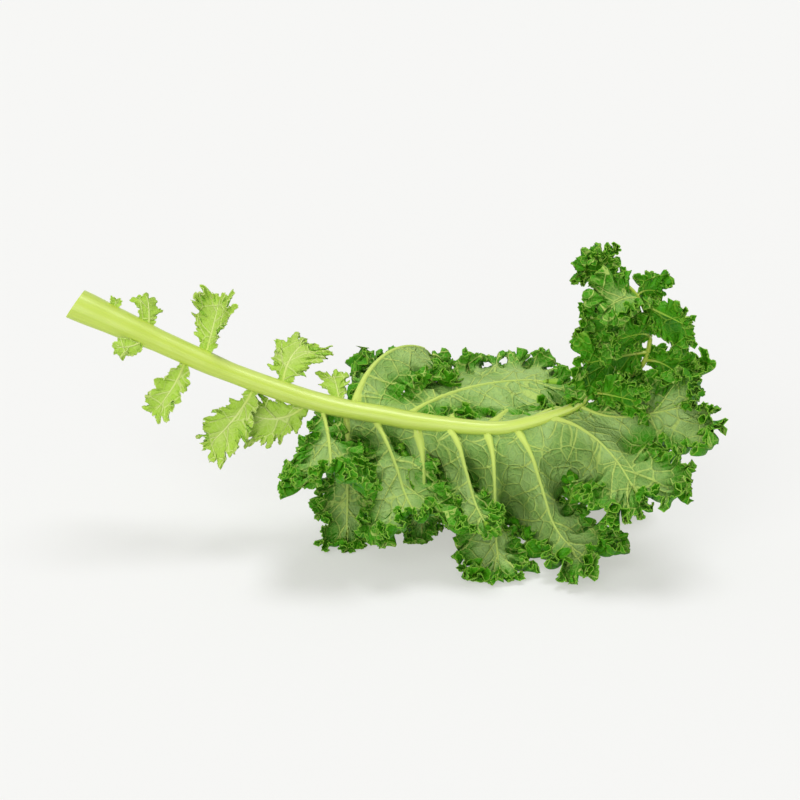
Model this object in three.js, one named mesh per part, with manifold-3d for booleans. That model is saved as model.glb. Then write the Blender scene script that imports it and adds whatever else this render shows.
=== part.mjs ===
// One leaf of curly kale, laid on its blade with the pale underside up.
//
// A stout leaf stalk runs on into the midrib.  Small leaflets stand along the
// stalk; past them come free lobes, and then two wide half blades whose lobes
// are joined by webs.  The leaf's end curls up and over in a cluster of lobes.
// Units are millimetres, +Z is up and +X runs from the cut end to the leaf's end.

import * as THREE from 'three';
import Module from 'manifold-3d';
import { mergeVertices } from 'three/addons/utils/BufferGeometryUtils.js';

// ---------------------------------------------------------------- driving sizes

const BLADE_THICKNESS = 0.9;      // the lamina, a little fuller than life so that it is a sound solid
const TABLE_CLEARANCE = 0.45;     // lowest height of the lamina's middle surface
const CLEARANCE = 0.4;           // between the stalk and what grows on it, and between lobes that lie close
const VEIN_SHARE = 0.8;           // share of a lobe's length that its main vein runs
const RIDGE_AT_BASE = 1.9;        // how far a main vein stands out of the underside, at its root
const RIDGE_AT_TIP = 0.4;

// Waypoints of the stalk and midrib, from the cut end to the leaf's end.
const MIDRIB = [
  [-171, 12, 132], [-134, 8, 116], [-88, 4, 96], [-42, 0, 81], [-8, -3, 75], [10, -4, 72], [48, -6, 69],
  [69, -6, 72.5], [90, -4, 79.5], [103, 0, 87.5], [118, 4, 93], [129, 6, 102], [131, 2, 119], [127, -3, 134],
  [119, -6, 147], [108, -8, 153],
];
const DRAWN_BACK = 0.02;          // how far corners that would touch are drawn apart
const CUT_TILT = 11;              // degrees by which the cut is off square
// Half widths of the stalk and midrib against distance from the cut end.
const GIRTH = [
  [0, 10.4], [25, 9.3], [48, 7.6], [90, 6.7], [175, 6.2], [205, 5.4], [240, 4.3], [276, 3.1], [300, 2.2],
  [340, 1.5], [394, 0.8],
];
const DEPTH_SHARE = 0.86;         // the stalk's depth over its width

// Each lobe leaves the midrib `at` millimetres from the cut end.  Its vein runs
// over VEIN_SHARE of its `length` through evenly spaced values of three angles, in
// degrees: `heading` is its bearing seen from above, anticlockwise from +X, `rise`
// its slope, and `roll` turns the lamina about it.  `width` and `fold`, the lift of
// the lamina, are for its two sides, left of the heading first, and `curl` bends
// both on towards the margin.  In a half blade, `web` is the share of its vein over
// which a lobe is joined to the one before it, and `pleat` how deep the blade sinks
// between those two veins, as a share of the gap between them.
function growth(at, length, width, heading, rise, roll, fold, curl, web = 0, pleat = 0.1) {
  return { at, length, width, heading, rise, roll, fold, curl, web, pleat };
}

const LEAFLETS = {
  leaflet_upper_1: growth(20, 8, [2.6, 2.6], [40, 70], [60, 70], [20, 20], [5, 5], 10),
  leaflet_upper_2: growth(42, 20, [6.5, 6.5], [80, 110], [70, 50], [10, 20], [10, -10], -30),
  leaflet_upper_3: growth(74, 33, [12, 12], [58, 66], [60, 60], [0, 0], [8, 8], 15),
  leaflet_upper_4: growth(118, 30, [15, 15], [75, 45], [66, 24], [-10, 0], [5, -5], -25),
  leaflet_upper_5: growth(150, 18, [8, 7], [100, 110], [40, 40], [10, 10], [5, 5], -20),
  leaflet_lower_1: growth(40, 19, [5, 5], [-100, -165], [-10, 5], [-40, -50], [5, 5], -20),
  leaflet_lower_2: growth(64, 34, [9, 9], [-106, -170], [-47, -52], [-20, -35], [5, 5], 10),
  leaflet_lower_3: growth(104, 42, [13, 13], [-140, -170], [-54, -42], [-20, -30], [0, 5], -10),
  leaflet_lower_4: growth(134, 38, [13, 13], [-160, -200], [-40, 14], [-60, -70], [5, 0], -15),
};
const HALF_BLADES = {
  near_half_blade: [
    growth(139, 62, [20, 22], [-66, -84, -92], [-40, -46, -8, 24], [0, 0], [-24, -24], 10),
    growth(153, 77, [13, 14], [-80, -95], [-74, -96, -60], [0, 0], [-20, -20], 20, 0.1),
    growth(167, 70, [20, 22], [-54, -50, -76], [-36, -54, -60, 5], [18, 10], [-14, -14], 10, 0.2, 0.8),
    growth(191, 66, [9, 12], [-70, -80], [-52, -108], [0, 0], [-4, -4], 10, 0.2, 0.8),
    growth(207, 71, [10, 15], [-66, -52, -80], [-6, -66, -60, 5], [0, 20, 10], [-30, -8], 20, 0.45, 1),
    growth(228, 86, [17, 19], [-76, -86], [-19, -74, -84, -25], [0, 0], [-24, -20], 15, 0.5, 1.3),
    growth(243, 90, [22, 18], [-60, -40, -54], [-21, -66, -68, -10], [0, 25, 10], [-5, -14], 15, 0.7, 1.3),
    growth(262, 74, [30, 20], [-43, -48], [9, -48], [20, 40], [-6, -6], 35, 0.55, 0.9),
    growth(279, 65, [16, 36], [-15, -12], [-30, 12, 20], [50, 55], [-20, 0], 40, 0.7, 0.35),
  ],
  far_half_blade: [
    growth(156, 84, [26, 24], [58, 42], [58, -29], [0, 0], [-30, -34], -20),
    growth(183, 108, [34, 26], [50, 18], [10, -7], [0, 0], [4, -24], -10, 0.1),
    growth(207, 111, [16, 16], [70, 94], [16, -14, -60, -98], [0, 0], [-8, -8], 5, 0.1),
    growth(227, 111, [15, 15], [60, 80], [16, -12, -60, -98], [0, 0], [-8, -8], 5, 0.5),
    growth(247, 110, [15, 15], [52, 66], [14, -14, -60, -98], [0, 0], [-8, -8], 5, 0.5),
    growth(267, 105, [18, 16], [46, 50], [4, -24, -60, -88], [0, 0], [-6, -6], 5, 0.4),
  ],
};
const END_LOBES = {
  end_lobe_right_1: growth(306, 37, [9, 17], [-36, -12], [-21, 0], [-115, -120], [5, 5], 20),
  end_lobe_right_0: growth(290, 28, [10, 10], [-60, -25], [15, -5], [-60, -90], [5, 5], 20),
  end_lobe_right_2: growth(322, 25, [10, 9], [-50, -20], [26, -44], [-90, -100], [5, 5], 20),
  end_lobe_left_1: growth(328, 37, [11, 19], [190, 198], [-5, -6], [95, 95], [5, 5], 10),
  end_lobe_left_2: growth(336, 30, [9, 15], [-105, -165], [45, -15], [50, 85], [5, 5], 25),
  end_lobe_left_3: growth(345, 33, [10, 12], [-168, -190], [10, 6], [95, 95], [5, 5], 20),
  end_lobe_left_4: growth(358, 32, [10, 12], [-115, -165], [55, -25], [20, -60], [5, 5], 30),
  end_lobe_right_3: growth(360, 30, [14, 7], [-60, -11], [0, -26], [-95, -90], [5, 5], 20),
  end_lobe_right_4: growth(366, 14, [7, 7], [54, 12], [18, -13], [-90, -90], [5, 5], 20),
  end_lobe_left_5: growth(374, 25, [9, 10], [168, 180], [40, 5], [100, 60], [5, 5], 20),
  end_lobe_last: growth(385, 12, [9, 8], [150, 131], [50, 75], [110, 110], [5, 5], 15),
};

// Mesh fineness: stations along a vein, ribs round a lobe's end, cells from vein to margin.
const FINE = { stations: 10, fan: 8, cells: 4 };
const COARSE = { stations: 6, fan: 6, cells: 3 };
const PLEAT_GROWTH = 1.4;         // power by which a web deepens away from the midrib
// Main ruffle of the margin: its length, and its height over the lobe's width.
const RUFFLE = { wave: 26, height: 0.13 };

// ---------------------------------------------------------------- small helpers

const { sin, cos, PI } = Math;
const rad = THREE.MathUtils.degToRad;
const mix = (a, b, t) => a + (b - a) * t;
const smooth = (t) => THREE.MathUtils.smoothstep(t, 0, 1);

// A value read off a list of [distance, value] pairs.
function along(table, s) {
  const i = Math.max(1, table.findIndex(([at]) => at >= s));
  const [[s0, v0], [s1, v1]] = [table[i - 1], table[i]];
  return mix(v0, v1, THREE.MathUtils.clamp((s - s0) / (s1 - s0), 0, 1));
}

// A value at share t of a list of values that are spaced evenly.
function evenly(values, t) {
  const i = Math.min(Math.floor(t * (values.length - 1)), values.length - 2);
  return mix(values[i], values[i + 1], t * (values.length - 1) - i);
}

function pointOf(origin, ...terms) {
  const p = origin.clone();
  for (const [direction, amount] of terms) p.addScaledVector(direction, amount);
  return p;
}

// ---------------------------------------------------------------- the midrib

const waypoints = MIDRIB.map((p) => new THREE.Vector3(...p));
const midrib = new THREE.CatmullRomCurve3(waypoints, false, 'catmullrom', 0.5);
midrib.arcLengthDivisions = 600;
const MIDRIB_LENGTH = midrib.getLength();

function onMidrib(s) {
  return midrib.getPointAt(THREE.MathUtils.clamp(s / MIDRIB_LENGTH, 0, 1));
}

// Tangent, level side vector and the normal that finishes the frame.
function midribFrame(s) {
  const tangent = midrib.getTangentAt(THREE.MathUtils.clamp(s / MIDRIB_LENGTH, 0, 1));
  const side = new THREE.Vector3(0, 1, 0).addScaledVector(tangent, -tangent.y).normalize();
  return { tangent, side, up: new THREE.Vector3().crossVectors(tangent, side) };
}

// The stalk and midrib: an oval section, flatter below, lofted along the midrib.
// `grow` fattens it, for cutting clearance out of the blades.
function stalkGeometry(grow = 0) {
  const sections = 44, sides = 14, positions = [], index = [];
  for (let i = 0; i <= sections; i++) {
    const s = mix(0, MIDRIB_LENGTH, i / sections);
    const { tangent, side, up } = midribFrame(s);
    const half = along(GIRTH, s) + grow;
    const tilt = i === 0 ? Math.tan(rad(CUT_TILT)) : 0;
    for (let j = 0; j < sides; j++) {
      const angle = (2 * PI * j) / sides;
      const height = half * DEPTH_SHARE * (sin(angle) > 0 ? sin(angle) : 0.85 * sin(angle));
      const p = pointOf(onMidrib(s), [side, half * cos(angle)], [up, height], [tangent, height * tilt]);
      positions.push(p.x, p.y, p.z);
    }
  }
  for (let i = 0; i < sections; i++) {
    for (let j = 0; j < sides; j++) {
      const a = i * sides + j, b = i * sides + ((j + 1) % sides);
      index.push(a, b, a + sides, b, b + sides, a + sides);
    }
  }
  for (let j = 1; j < sides - 1; j++) {
    const last = sections * sides;
    index.push(0, j + 1, j, last, last + j, last + j + 1);
  }
  const geometry = new THREE.BufferGeometry();
  geometry.setAttribute('position', new THREE.Float32BufferAttribute(positions, 3));
  geometry.setIndex(index);
  return geometry;
}

// ---------------------------------------------------------------- one lobe's surface

// The vein's points and frames at the stations, found by walking along its bearing and slope.
function veinOf(lobe, stations) {
  const steps = 8, reach = lobe.length * VEIN_SHARE;
  const frameAt = (t) => {
    const [h, r, roll] = [lobe.heading, lobe.rise, lobe.roll].map((profile) => rad(evenly(profile, t)));
    const tangent = new THREE.Vector3(cos(r) * cos(h), cos(r) * sin(h), sin(r));
    const level = new THREE.Vector3(-sin(h), cos(h), 0);
    const over = new THREE.Vector3().crossVectors(tangent, level);
    const side = level.clone().multiplyScalar(cos(roll)).addScaledVector(over, sin(roll));
    return { tangent, side, normal: new THREE.Vector3().crossVectors(tangent, side) };
  };
  const root = frameAt(0).tangent.clone().multiplyScalar(0.45 * along(GIRTH, lobe.at));
  const p = onMidrib(lobe.at).add(root);
  const vein = [{ point: p.clone(), ...frameAt(0) }];
  for (let k = 1; k <= stations; k++) {
    for (let i = 0; i < steps; i++) {
      const t = (k - 1 + (i + 0.5) / steps) / stations;
      p.addScaledVector(frameAt(t).tangent, reach / stations / steps);
    }
    vein.push({ point: p.clone(), ...frameAt(k / stations) });
  }
  return vein;
}

// A rib runs from the vein to the margin, bending with the fold and curl.
function ribPoint(lobe, frame, angle, reach, q) {
  const sign = angle >= 0 ? 1 : -1;
  const lateral = Math.abs(sin(angle)) * reach, forward = cos(angle) * reach;
  const fold = rad(lobe.fold[sign > 0 ? 0 : 1]), bend = rad(lobe.curl) + 1e-4;
  const out = (sin(fold + bend * q) - sin(fold)) / bend;
  const lift = (cos(fold) - cos(fold + bend * q)) / bend;
  const tipOut = sin(bend * q) / bend, tipLift = (1 - cos(bend * q)) / bend;
  return pointOf(
    frame.point,
    [frame.side, sign * lateral * out],
    [frame.normal, lateral * lift + forward * tipLift],
    [frame.tangent, forward * tipOut],
  );
}

// Ribs in order round the lobe: left side from root to end, the fan, right side back to the root.
function ribsOf(lobe, mesh) {
  const vein = veinOf(lobe, mesh.stations), ribs = [];
  const endAngle = rad(50), endReach = lobe.length * (1 - VEIN_SHARE);
  const width = (t, sign) => lobe.width[sign > 0 ? 0 : 1] * (0.14 + 0.86 * sin(0.7 * PI * t ** 1.1));
  for (const sign of [1, -1]) {
    const side = vein.map((frame, k) => {
      const t = k / mesh.stations, angle = rad(mix(82, 50, t));
      return { frame, k, angle: sign * angle, reach: width(t, sign) / sin(angle), sign };
    });
    if (sign > 0) {
      ribs.push(...side);
      for (let f = 1; f < mesh.fan; f++) {
        const share = 1 - (2 * f) / mesh.fan;
        const reach = mix(endReach, width(1, share) / sin(endAngle), share * share);
        ribs.push({ frame: vein[mesh.stations], k: mesh.stations, angle: share * endAngle, reach, sign: 0 });
      }
    } else {
      ribs.push(...side.reverse());
    }
  }
  return ribs;
}

// The grid of points of a lobe, ribs by cells, with its main ruffle.  A joined
// side ends on its valley line up to the last webbed station.
function lobeGrid(lobe, mesh, joins = {}) {
  const ribs = ribsOf(lobe, mesh);
  const webbed = (rib) => {
    const join = rib.sign > 0 ? joins.left : rib.sign < 0 ? joins.right : null;
    if (!join) return null;
    const share = smooth((rib.k - join.last) / (0.35 * mesh.stations));
    return { valley: join.valley[Math.min(rib.k, join.last)], share };
  };
  let run = 0, before = null;
  return ribs.map((rib) => {
    const join = webbed(rib);
    const edge = ribPoint(lobe, rib.frame, rib.angle, rib.reach, 1);
    if (before) run += edge.distanceTo(before);
    before = edge;
    const freedom = join ? join.share : 1;
    const ruffle = RUFFLE.height * Math.max(...lobe.width) * sin((2 * PI * run) / RUFFLE.wave) * freedom;
    const points = [];
    for (let c = 0; c <= mesh.cells; c++) {
      const q = (c / mesh.cells) ** 0.8;
      const p = ribPoint(lobe, rib.frame, rib.angle, rib.reach, q);
      if (join) p.addScaledVector(join.valley.clone().sub(edge), (1 - freedom) * q);
      p.addScaledVector(rib.frame.normal, ruffle * q * q);
      p.z = Math.max(p.z, TABLE_CLEARANCE);
      points.push(p);
    }
    const ridge = mix(RIDGE_AT_BASE, RIDGE_AT_TIP, rib.k / mesh.stations) * Math.min(1, lobe.length / 60);
    return { points, ridge };
  });
}

// ---------------------------------------------------------------- sheets to solids

// Quads between neighbouring ribs, kept lobe by lobe.  Points at the same place
// become one vertex, so that joined lobes share their normals.
class Sheet {
  constructor() {
    this.vertices = [];
    this.lobes = [];
    this.places = new Map();
  }

  vertex(point, ridge) {
    const key = point.toArray().map((x) => Math.round(x * 1000)).join();
    if (!this.places.has(key)) {
      this.places.set(key, this.vertices.length);
      this.vertices.push({ point, ridge, normal: new THREE.Vector3() });
    }
    return this.places.get(key);
  }

  add(grid) {
    this.lobes.push([]);
    const ids = grid.map(({ points, ridge }) => points.map((p, c) => this.vertex(p, c === 0 ? ridge : 0)));
    for (let i = 1; i < ids.length; i++) {
      for (let c = 1; c < ids[i].length; c++) {
        this.triangle(ids[i - 1][c - 1], ids[i][c - 1], ids[i][c]);
        this.triangle(ids[i - 1][c - 1], ids[i][c], ids[i - 1][c]);
      }
    }
  }

  triangle(a, b, c) {
    if (a === b || b === c || c === a) return;
    this.lobes.at(-1).push([a, b, c]);
    const [p, q, r] = [a, b, c].map((i) => this.vertices[i].point);
    const normal = new THREE.Vector3().subVectors(q, p).cross(new THREE.Vector3().subVectors(r, p));
    for (const i of [a, b, c]) this.vertices[i].normal.add(normal);
  }

  // A solid, joined from one for each lobe, that reaches `room` past the blade's own faces.
  solid(room = 0) {
    const solids = this.lobes.map((faces) => solidOf(this.thicken(faces, BLADE_THICKNESS + 2 * room)));
    return solids.reduce((joined, lobe) => joined.add(lobe));
  }

  // A closed surface: the faces offset both ways along their normals, which point out of
  // the underside where the veins stand out, and a wall round their rim.
  thicken(faces, thickness) {
    const n = this.vertices.length, positions = [], index = [], rim = new Map();
    for (const side of [1, -1]) {
      for (const { point, normal, ridge } of this.vertices) {
        const out = (side * thickness) / 2 + (side > 0 ? ridge : 0);
        const p = pointOf(point, [normal.clone().normalize(), out]);
        positions.push(p.x, p.y, p.z);
      }
    }
    for (const [a, b, c] of faces) {
      index.push(a, b, c, a + n, c + n, b + n);
      for (const [i, j] of [[a, b], [b, c], [c, a]]) {
        if (!rim.delete(`${j},${i}`)) rim.set(`${i},${j}`, [i, j]);
      }
    }
    // The wall's diagonals don't depend on its direction, so that joined lobes share their walls.
    for (const [i, j] of rim.values()) {
      if (i < j) index.push(j, i, j + n, i, i + n, j + n);
      else index.push(j, i, i + n, j, i + n, j + n);
    }
    const geometry = new THREE.BufferGeometry();
    geometry.setAttribute('position', new THREE.Float32BufferAttribute(positions, 3));
    geometry.setIndex(index);
    return geometry;
  }
}

function lobeSheet(lobe, mesh) {
  const sheet = new Sheet();
  sheet.add(lobeGrid(lobe, mesh));
  return sheet;
}

// Lobes joined by webs: each valley line runs midway between two veins.
function bladeSheet(lobes, mesh) {
  const sheet = new Sheet();
  const veins = lobes.map((lobe) => veinOf(lobe, mesh.stations));
  const joins = lobes.map(({ web, pleat }, i) => {
    if (!i) return null;
    const last = Math.round(web * mesh.stations);
    const valley = veins[i].slice(0, last + 1).map((frame, k) => {
      const other = veins[i - 1][k];
      const sink = pleat * frame.point.distanceTo(other.point) * (k / Math.max(last, 1)) ** PLEAT_GROWTH;
      const down = frame.normal.clone().add(other.normal).normalize().negate();
      return pointOf(frame.point.clone().lerp(other.point, 0.5), [down, sink]);
    });
    return { valley, last };
  });
  const near = lobes[0].heading[0] < 0;
  lobes.forEach((lobe, i) => {
    const [before, after] = [joins[i], joins[i + 1]];
    sheet.add(lobeGrid(lobe, mesh, near ? { left: after, right: before } : { left: before, right: after }));
  });
  return sheet;
}

// ---------------------------------------------------------------- booleans

const wasm = await Module();
wasm.setup();

function solidOf(geometry) {
  const bare = new THREE.BufferGeometry();
  bare.setAttribute('position', geometry.getAttribute('position'));
  bare.setIndex(geometry.getIndex());
  const merged = mergeVertices(bare, 1e-4);
  return new wasm.Manifold(new wasm.Mesh({
    numProp: 3,
    vertProperties: merged.attributes.position.array,
    triVerts: new Uint32Array(merged.index.array),
  }));
}

// Draws each corner that touches another back into its own body, so that no two meet at one place.
function partTouchingCorners(positions, index) {
  const cornerAt = (_, i) => new THREE.Vector3().fromArray(positions, 3 * i);
  const corners = Array.from({ length: positions.length / 3 }, cornerAt);
  const out = corners.map(() => new THREE.Vector3());
  for (let i = 0; i < index.length; i += 3) {
    const face = [...index.subarray(i, i + 3)];
    const [p, q, r] = face.map((k) => corners[k]);
    const normal = new THREE.Vector3().subVectors(q, p).cross(new THREE.Vector3().subVectors(r, p));
    for (const k of face) out[k].add(normal);
  }
  const places = new Map();
  corners.forEach((corner, i) => {
    const place = corner.toArray().map((x) => Math.round(x * 500)).join();
    places.set(place, [...(places.get(place) ?? []), i]);
  });
  for (const sharers of places.values()) {
    if (sharers.length < 2) continue;
    for (const i of sharers) {
      corners[i].addScaledVector(out[i].normalize(), -DRAWN_BACK).toArray(positions, 3 * i);
    }
  }
}

function geometryOf(solid) {
  const { vertProperties, triVerts } = solid.getMesh();
  partTouchingCorners(vertProperties, triVerts);
  const geometry = new THREE.BufferGeometry();
  geometry.setAttribute('position', new THREE.BufferAttribute(vertProperties, 3));
  geometry.setIndex(new THREE.BufferAttribute(triVerts, 1));
  return geometry;
}

// What has been placed so far, each piece with the clearance that later ones leave it.
const taken = [solidOf(stalkGeometry(CLEARANCE))];

// The largest body left of a blade once all that it would run through is cut from it.
function placed(sheet) {
  const whole = sheet.solid();
  const clear = taken.reduce((left, room) => left.subtract(room), whole);
  taken.push(whole.add(sheet.solid(CLEARANCE)));
  return geometryOf(clear.decompose().sort((a, b) => b.volume() - a.volume())[0]);
}

// ---------------------------------------------------------------- the leaf

const STALK = new THREE.MeshStandardMaterial({ color: 0xbfd65c, roughness: 0.45, metalness: 0 });
const UNDERSIDE = new THREE.MeshStandardMaterial({ color: 0x86ab58, roughness: 0.6, metalness: 0 });
const YOUNG = new THREE.MeshStandardMaterial({ color: 0xb2d068, roughness: 0.6, metalness: 0 });
const UPPER = new THREE.MeshStandardMaterial({ color: 0x4a8722, roughness: 0.55, metalness: 0 });

const leaf = new THREE.Group();
function add(name, geometry, material) {
  geometry.computeVertexNormals();
  const mesh = new THREE.Mesh(geometry, material);
  mesh.name = name;
  leaf.add(mesh);
}

add('stalk', stalkGeometry(), STALK);
for (const [name, lobe] of Object.entries(LEAFLETS)) {
  add(name, placed(lobeSheet(lobe, COARSE)), YOUNG);
}
for (const [name, lobes] of Object.entries(HALF_BLADES)) {
  add(name, placed(bladeSheet(lobes, FINE)), UNDERSIDE);
}
for (const [name, lobe] of Object.entries(END_LOBES)) {
  add(name, placed(lobeSheet(lobe, COARSE)), UPPER);
}

// The origin is the middle of the leaf's box, on the surface that it lies on.
const box = new THREE.Box3().setFromObject(leaf);
const middle = box.getCenter(new THREE.Vector3());
leaf.position.set(-middle.x, -middle.y, -box.min.z);

export default leaf;
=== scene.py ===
"""The looks of one leaf of curly kale, laid on its blade with the pale underside up.

Every lobe of the leaf is grown as its solid is: a vein walks away from the
midrib, and ribs run from it to the margin.  The margin is then thrown into
ruffles on ruffles, finer and finer towards its edge, and the sheet is given two
faces, a raised underside and a grooved upper side.

Lengths are in millimetres until a mesh is made, and +Z is up.
"""

import logging
import math
from dataclasses import dataclass
from enum import Enum

import bpy
import numpy as np
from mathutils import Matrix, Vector

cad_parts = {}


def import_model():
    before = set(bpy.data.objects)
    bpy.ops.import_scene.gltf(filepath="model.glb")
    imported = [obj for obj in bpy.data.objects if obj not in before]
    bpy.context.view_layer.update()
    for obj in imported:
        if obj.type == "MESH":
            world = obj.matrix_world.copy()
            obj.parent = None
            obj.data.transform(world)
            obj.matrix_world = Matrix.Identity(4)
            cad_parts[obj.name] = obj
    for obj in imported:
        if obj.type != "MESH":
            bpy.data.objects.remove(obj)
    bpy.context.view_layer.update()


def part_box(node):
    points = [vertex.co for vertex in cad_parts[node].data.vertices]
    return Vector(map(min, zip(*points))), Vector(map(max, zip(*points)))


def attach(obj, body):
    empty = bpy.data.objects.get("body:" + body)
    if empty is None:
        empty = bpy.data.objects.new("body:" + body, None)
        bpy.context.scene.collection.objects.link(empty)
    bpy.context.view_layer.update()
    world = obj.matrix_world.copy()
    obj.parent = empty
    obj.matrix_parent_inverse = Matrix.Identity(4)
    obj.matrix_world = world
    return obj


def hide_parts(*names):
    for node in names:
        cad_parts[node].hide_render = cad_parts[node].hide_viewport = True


Array = np.ndarray
Pair = tuple[float, float]
Profile = tuple[float, ...]     # values at even steps from a vein's root to its end
Socket = bpy.types.NodeSocket

LOG = logging.getLogger("kale_leaf")
MM = 0.001                      # metres in a millimetre
BODY = "root"

# ------------------------------------------------------------------ leaf sizes

# Waypoints of the stalk and midrib, from the cut end to the leaf's end.
MIDRIB_WAYPOINTS = (
    (-171, 12, 132), (-134, 8, 116), (-88, 4, 96), (-42, 0, 81), (-8, -3, 75), (10, -4, 72),
    (48, -6, 69), (69, -6, 72.5), (90, -4, 79.5), (103, 0, 87.5), (118, 4, 93), (129, 6, 102),
    (131, 2, 119), (127, -3, 134), (119, -6, 147), (108, -8, 153),
)
# Half widths of the stalk and midrib against distance from the cut end.
GIRTH = (
    (0, 10.4), (25, 9.3), (48, 7.6), (90, 6.7), (175, 6.2), (205, 5.4), (240, 4.3), (276, 3.1), (300, 2.2),
    (340, 1.5), (394, 0.8),
)
DEPTH_SHARE = 0.86              # the stalk's depth over its width
BELLY_SHARE = 0.85              # how deep its lower half is, as a share of its upper half
CUT_TILT = 11                   # degrees by which the cut is off square
VEIN_SHARE = 0.8                # share of a lobe's length that its main vein runs
ROOT_ANGLE = 82                 # degrees from a vein to its first rib
FAN_ANGLE = 50                  # degrees to its last rib, and half the spread of ribs round a lobe's end
SPAN = 8                        # columns between the ones that run all the way in to a vein
LEFT, RIGHT = 1, -1             # sides of a vein, as seen from its root

# ------------------------------------------------------------------ sums


def rad(degrees: float | Array) -> float | Array:
    """Degrees as radians."""
    return np.deg2rad(degrees)


def smooth(x: float | Array) -> float | Array:
    """A step from 0 to 1 with level ends, over x from 0 to 1."""
    x = np.clip(x, 0, 1)
    return x * x * (3 - 2 * x)


def mix(a: float | Array, b: float | Array, t: float | Array) -> float | Array:
    """The value a share t of the way from a to b."""
    return a + (b - a) * t


def along(profile: Profile, t: Array) -> Array:
    """A profile read at shares t of its length."""
    return np.interp(t, np.linspace(0, 1, len(profile)), profile)


def unit(v: Array) -> Array:
    """Vectors scaled to length 1."""
    return v / np.maximum(np.linalg.norm(v, axis=-1, keepdims=True), 1e-9)


def running(points: Array, counts: float | Array = 1.0) -> Array:
    """Distance along a line of points from its first, over the steps that count."""
    steps = np.linalg.norm(np.diff(points, axis=0), axis=-1) * counts
    return np.concatenate([[0.0], np.cumsum(steps)])


def normals_of(points: Array) -> tuple[Array, Array]:
    """Unit normals of a grid of points, and its unit directions along the margin."""
    across, out = np.gradient(points, axis=0), np.gradient(points, axis=1)
    return unit(np.cross(across, out)), unit(across)


def wander(x: Array, wave: float, seed: int) -> Array:
    """Smooth noise along a line.

    Args:
        x: distances, in millimetres.
        wave: its usual wavelength, in millimetres.
        seed: which of the noises.

    Returns:
        Values within about -1 and 1.
    """
    octaves = ((1.0, 1.0), (0.61, 0.7), (0.37, 0.45))   # lengths and heights, in shares of the first's
    usual_peak = 1.5
    rng = np.random.default_rng(seed)
    total = np.zeros_like(np.asarray(x, float))
    for shrink, share in octaves:
        total += share * np.sin(2 * math.pi * x / (wave * shrink) + rng.uniform(0, 2 * math.pi))
    return total / usual_peak


def swell(points: Array, wave: float, seed: int) -> Array:
    """Smooth noise through space.

    Args:
        points: places, in millimetres, along the last axis.
        wave: its usual wavelength, in millimetres.
        seed: which of the noises.

    Returns:
        Values within about -1 and 1.
    """
    waves, usual_peak, shortest, longest = 9, 3.6, 0.7, 1.5
    rng = np.random.default_rng(seed)
    total = np.zeros(points.shape[:-1])
    for _ in range(waves):
        direction = unit(rng.normal(size=3))
        length = wave * rng.uniform(shortest, longest)
        total += np.sin(2 * math.pi * (points @ direction) / length + rng.uniform(0, 2 * math.pi))
    return total / usual_peak


# ------------------------------------------------------------------ the midrib


class Midrib:
    """The line of the stalk and midrib, read by distance from the cut end."""

    PER_SPAN = 240              # points from one waypoint to the next

    def __init__(self, waypoints: tuple[tuple[float, float, float], ...]) -> None:
        """Lays a smooth line.

        Args:
            waypoints: the points that it passes through, from the cut end.
        """
        p = np.array(waypoints, float)
        p = np.vstack([2 * p[0] - p[1], p, 2 * p[-1] - p[-2]])
        t = np.linspace(0, 1, self.PER_SPAN, endpoint=False)[:, None]
        spans = []
        for a, b, c, d in zip(p, p[1:], p[2:], p[3:]):
            m0, m1 = (c - a) / 2, (d - b) / 2
            spans.append(b + m0 * t + (3 * (c - b) - 2 * m0 - m1) * t ** 2 + (2 * (b - c) + m0 + m1) * t ** 3)
        self.points = np.vstack(spans + [p[-2:-1]])
        self.distance = running(self.points)
        self.length = float(self.distance[-1])
        self.tangents = unit(np.gradient(self.points, self.distance, axis=0))

    def at(self, s: float | Array) -> Array:
        """The point at distance s."""
        return np.stack([np.interp(s, self.distance, self.points[:, i]) for i in range(3)], -1)

    def frame(self, s: float | Array) -> tuple[Array, Array, Array]:
        """The frame along the line.

        Args:
            s: distance from the cut end.

        Returns:
            The tangent, the level vector to the far side, and the vector square to both.
        """
        tangent = unit(np.stack([np.interp(s, self.distance, self.tangents[:, i]) for i in range(3)], -1))
        side = unit(np.array([0.0, 1.0, 0.0]) - tangent * tangent[..., 1:2])
        return tangent, side, np.cross(tangent, side)

    @staticmethod
    def girth(s: float | Array) -> Array:
        """Half the stalk's width at distance s."""
        at, half = zip(*GIRTH)
        return np.interp(s, at, half)


MIDRIB = Midrib(MIDRIB_WAYPOINTS)

# ------------------------------------------------------------------ colours and nodes

FADE = {"interpolation_type": "SMOOTHSTEP"}     # a Map Range with level ends
DYE = {"data_type": "RGBA", "out": 2}           # a Mix of colours: input 0 is the share, 6 and 7 the colours


def colour(code: str) -> tuple[float, float, float, float]:
    """An sRGB hex code as a linear colour."""
    parts = (int(code[i:i + 2], 16) / 255 for i in (1, 3, 5))
    return (*(c / 12.92 if c <= 0.04045 else ((c + 0.055) / 1.055) ** 2.4 for c in parts), 1.0)


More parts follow.
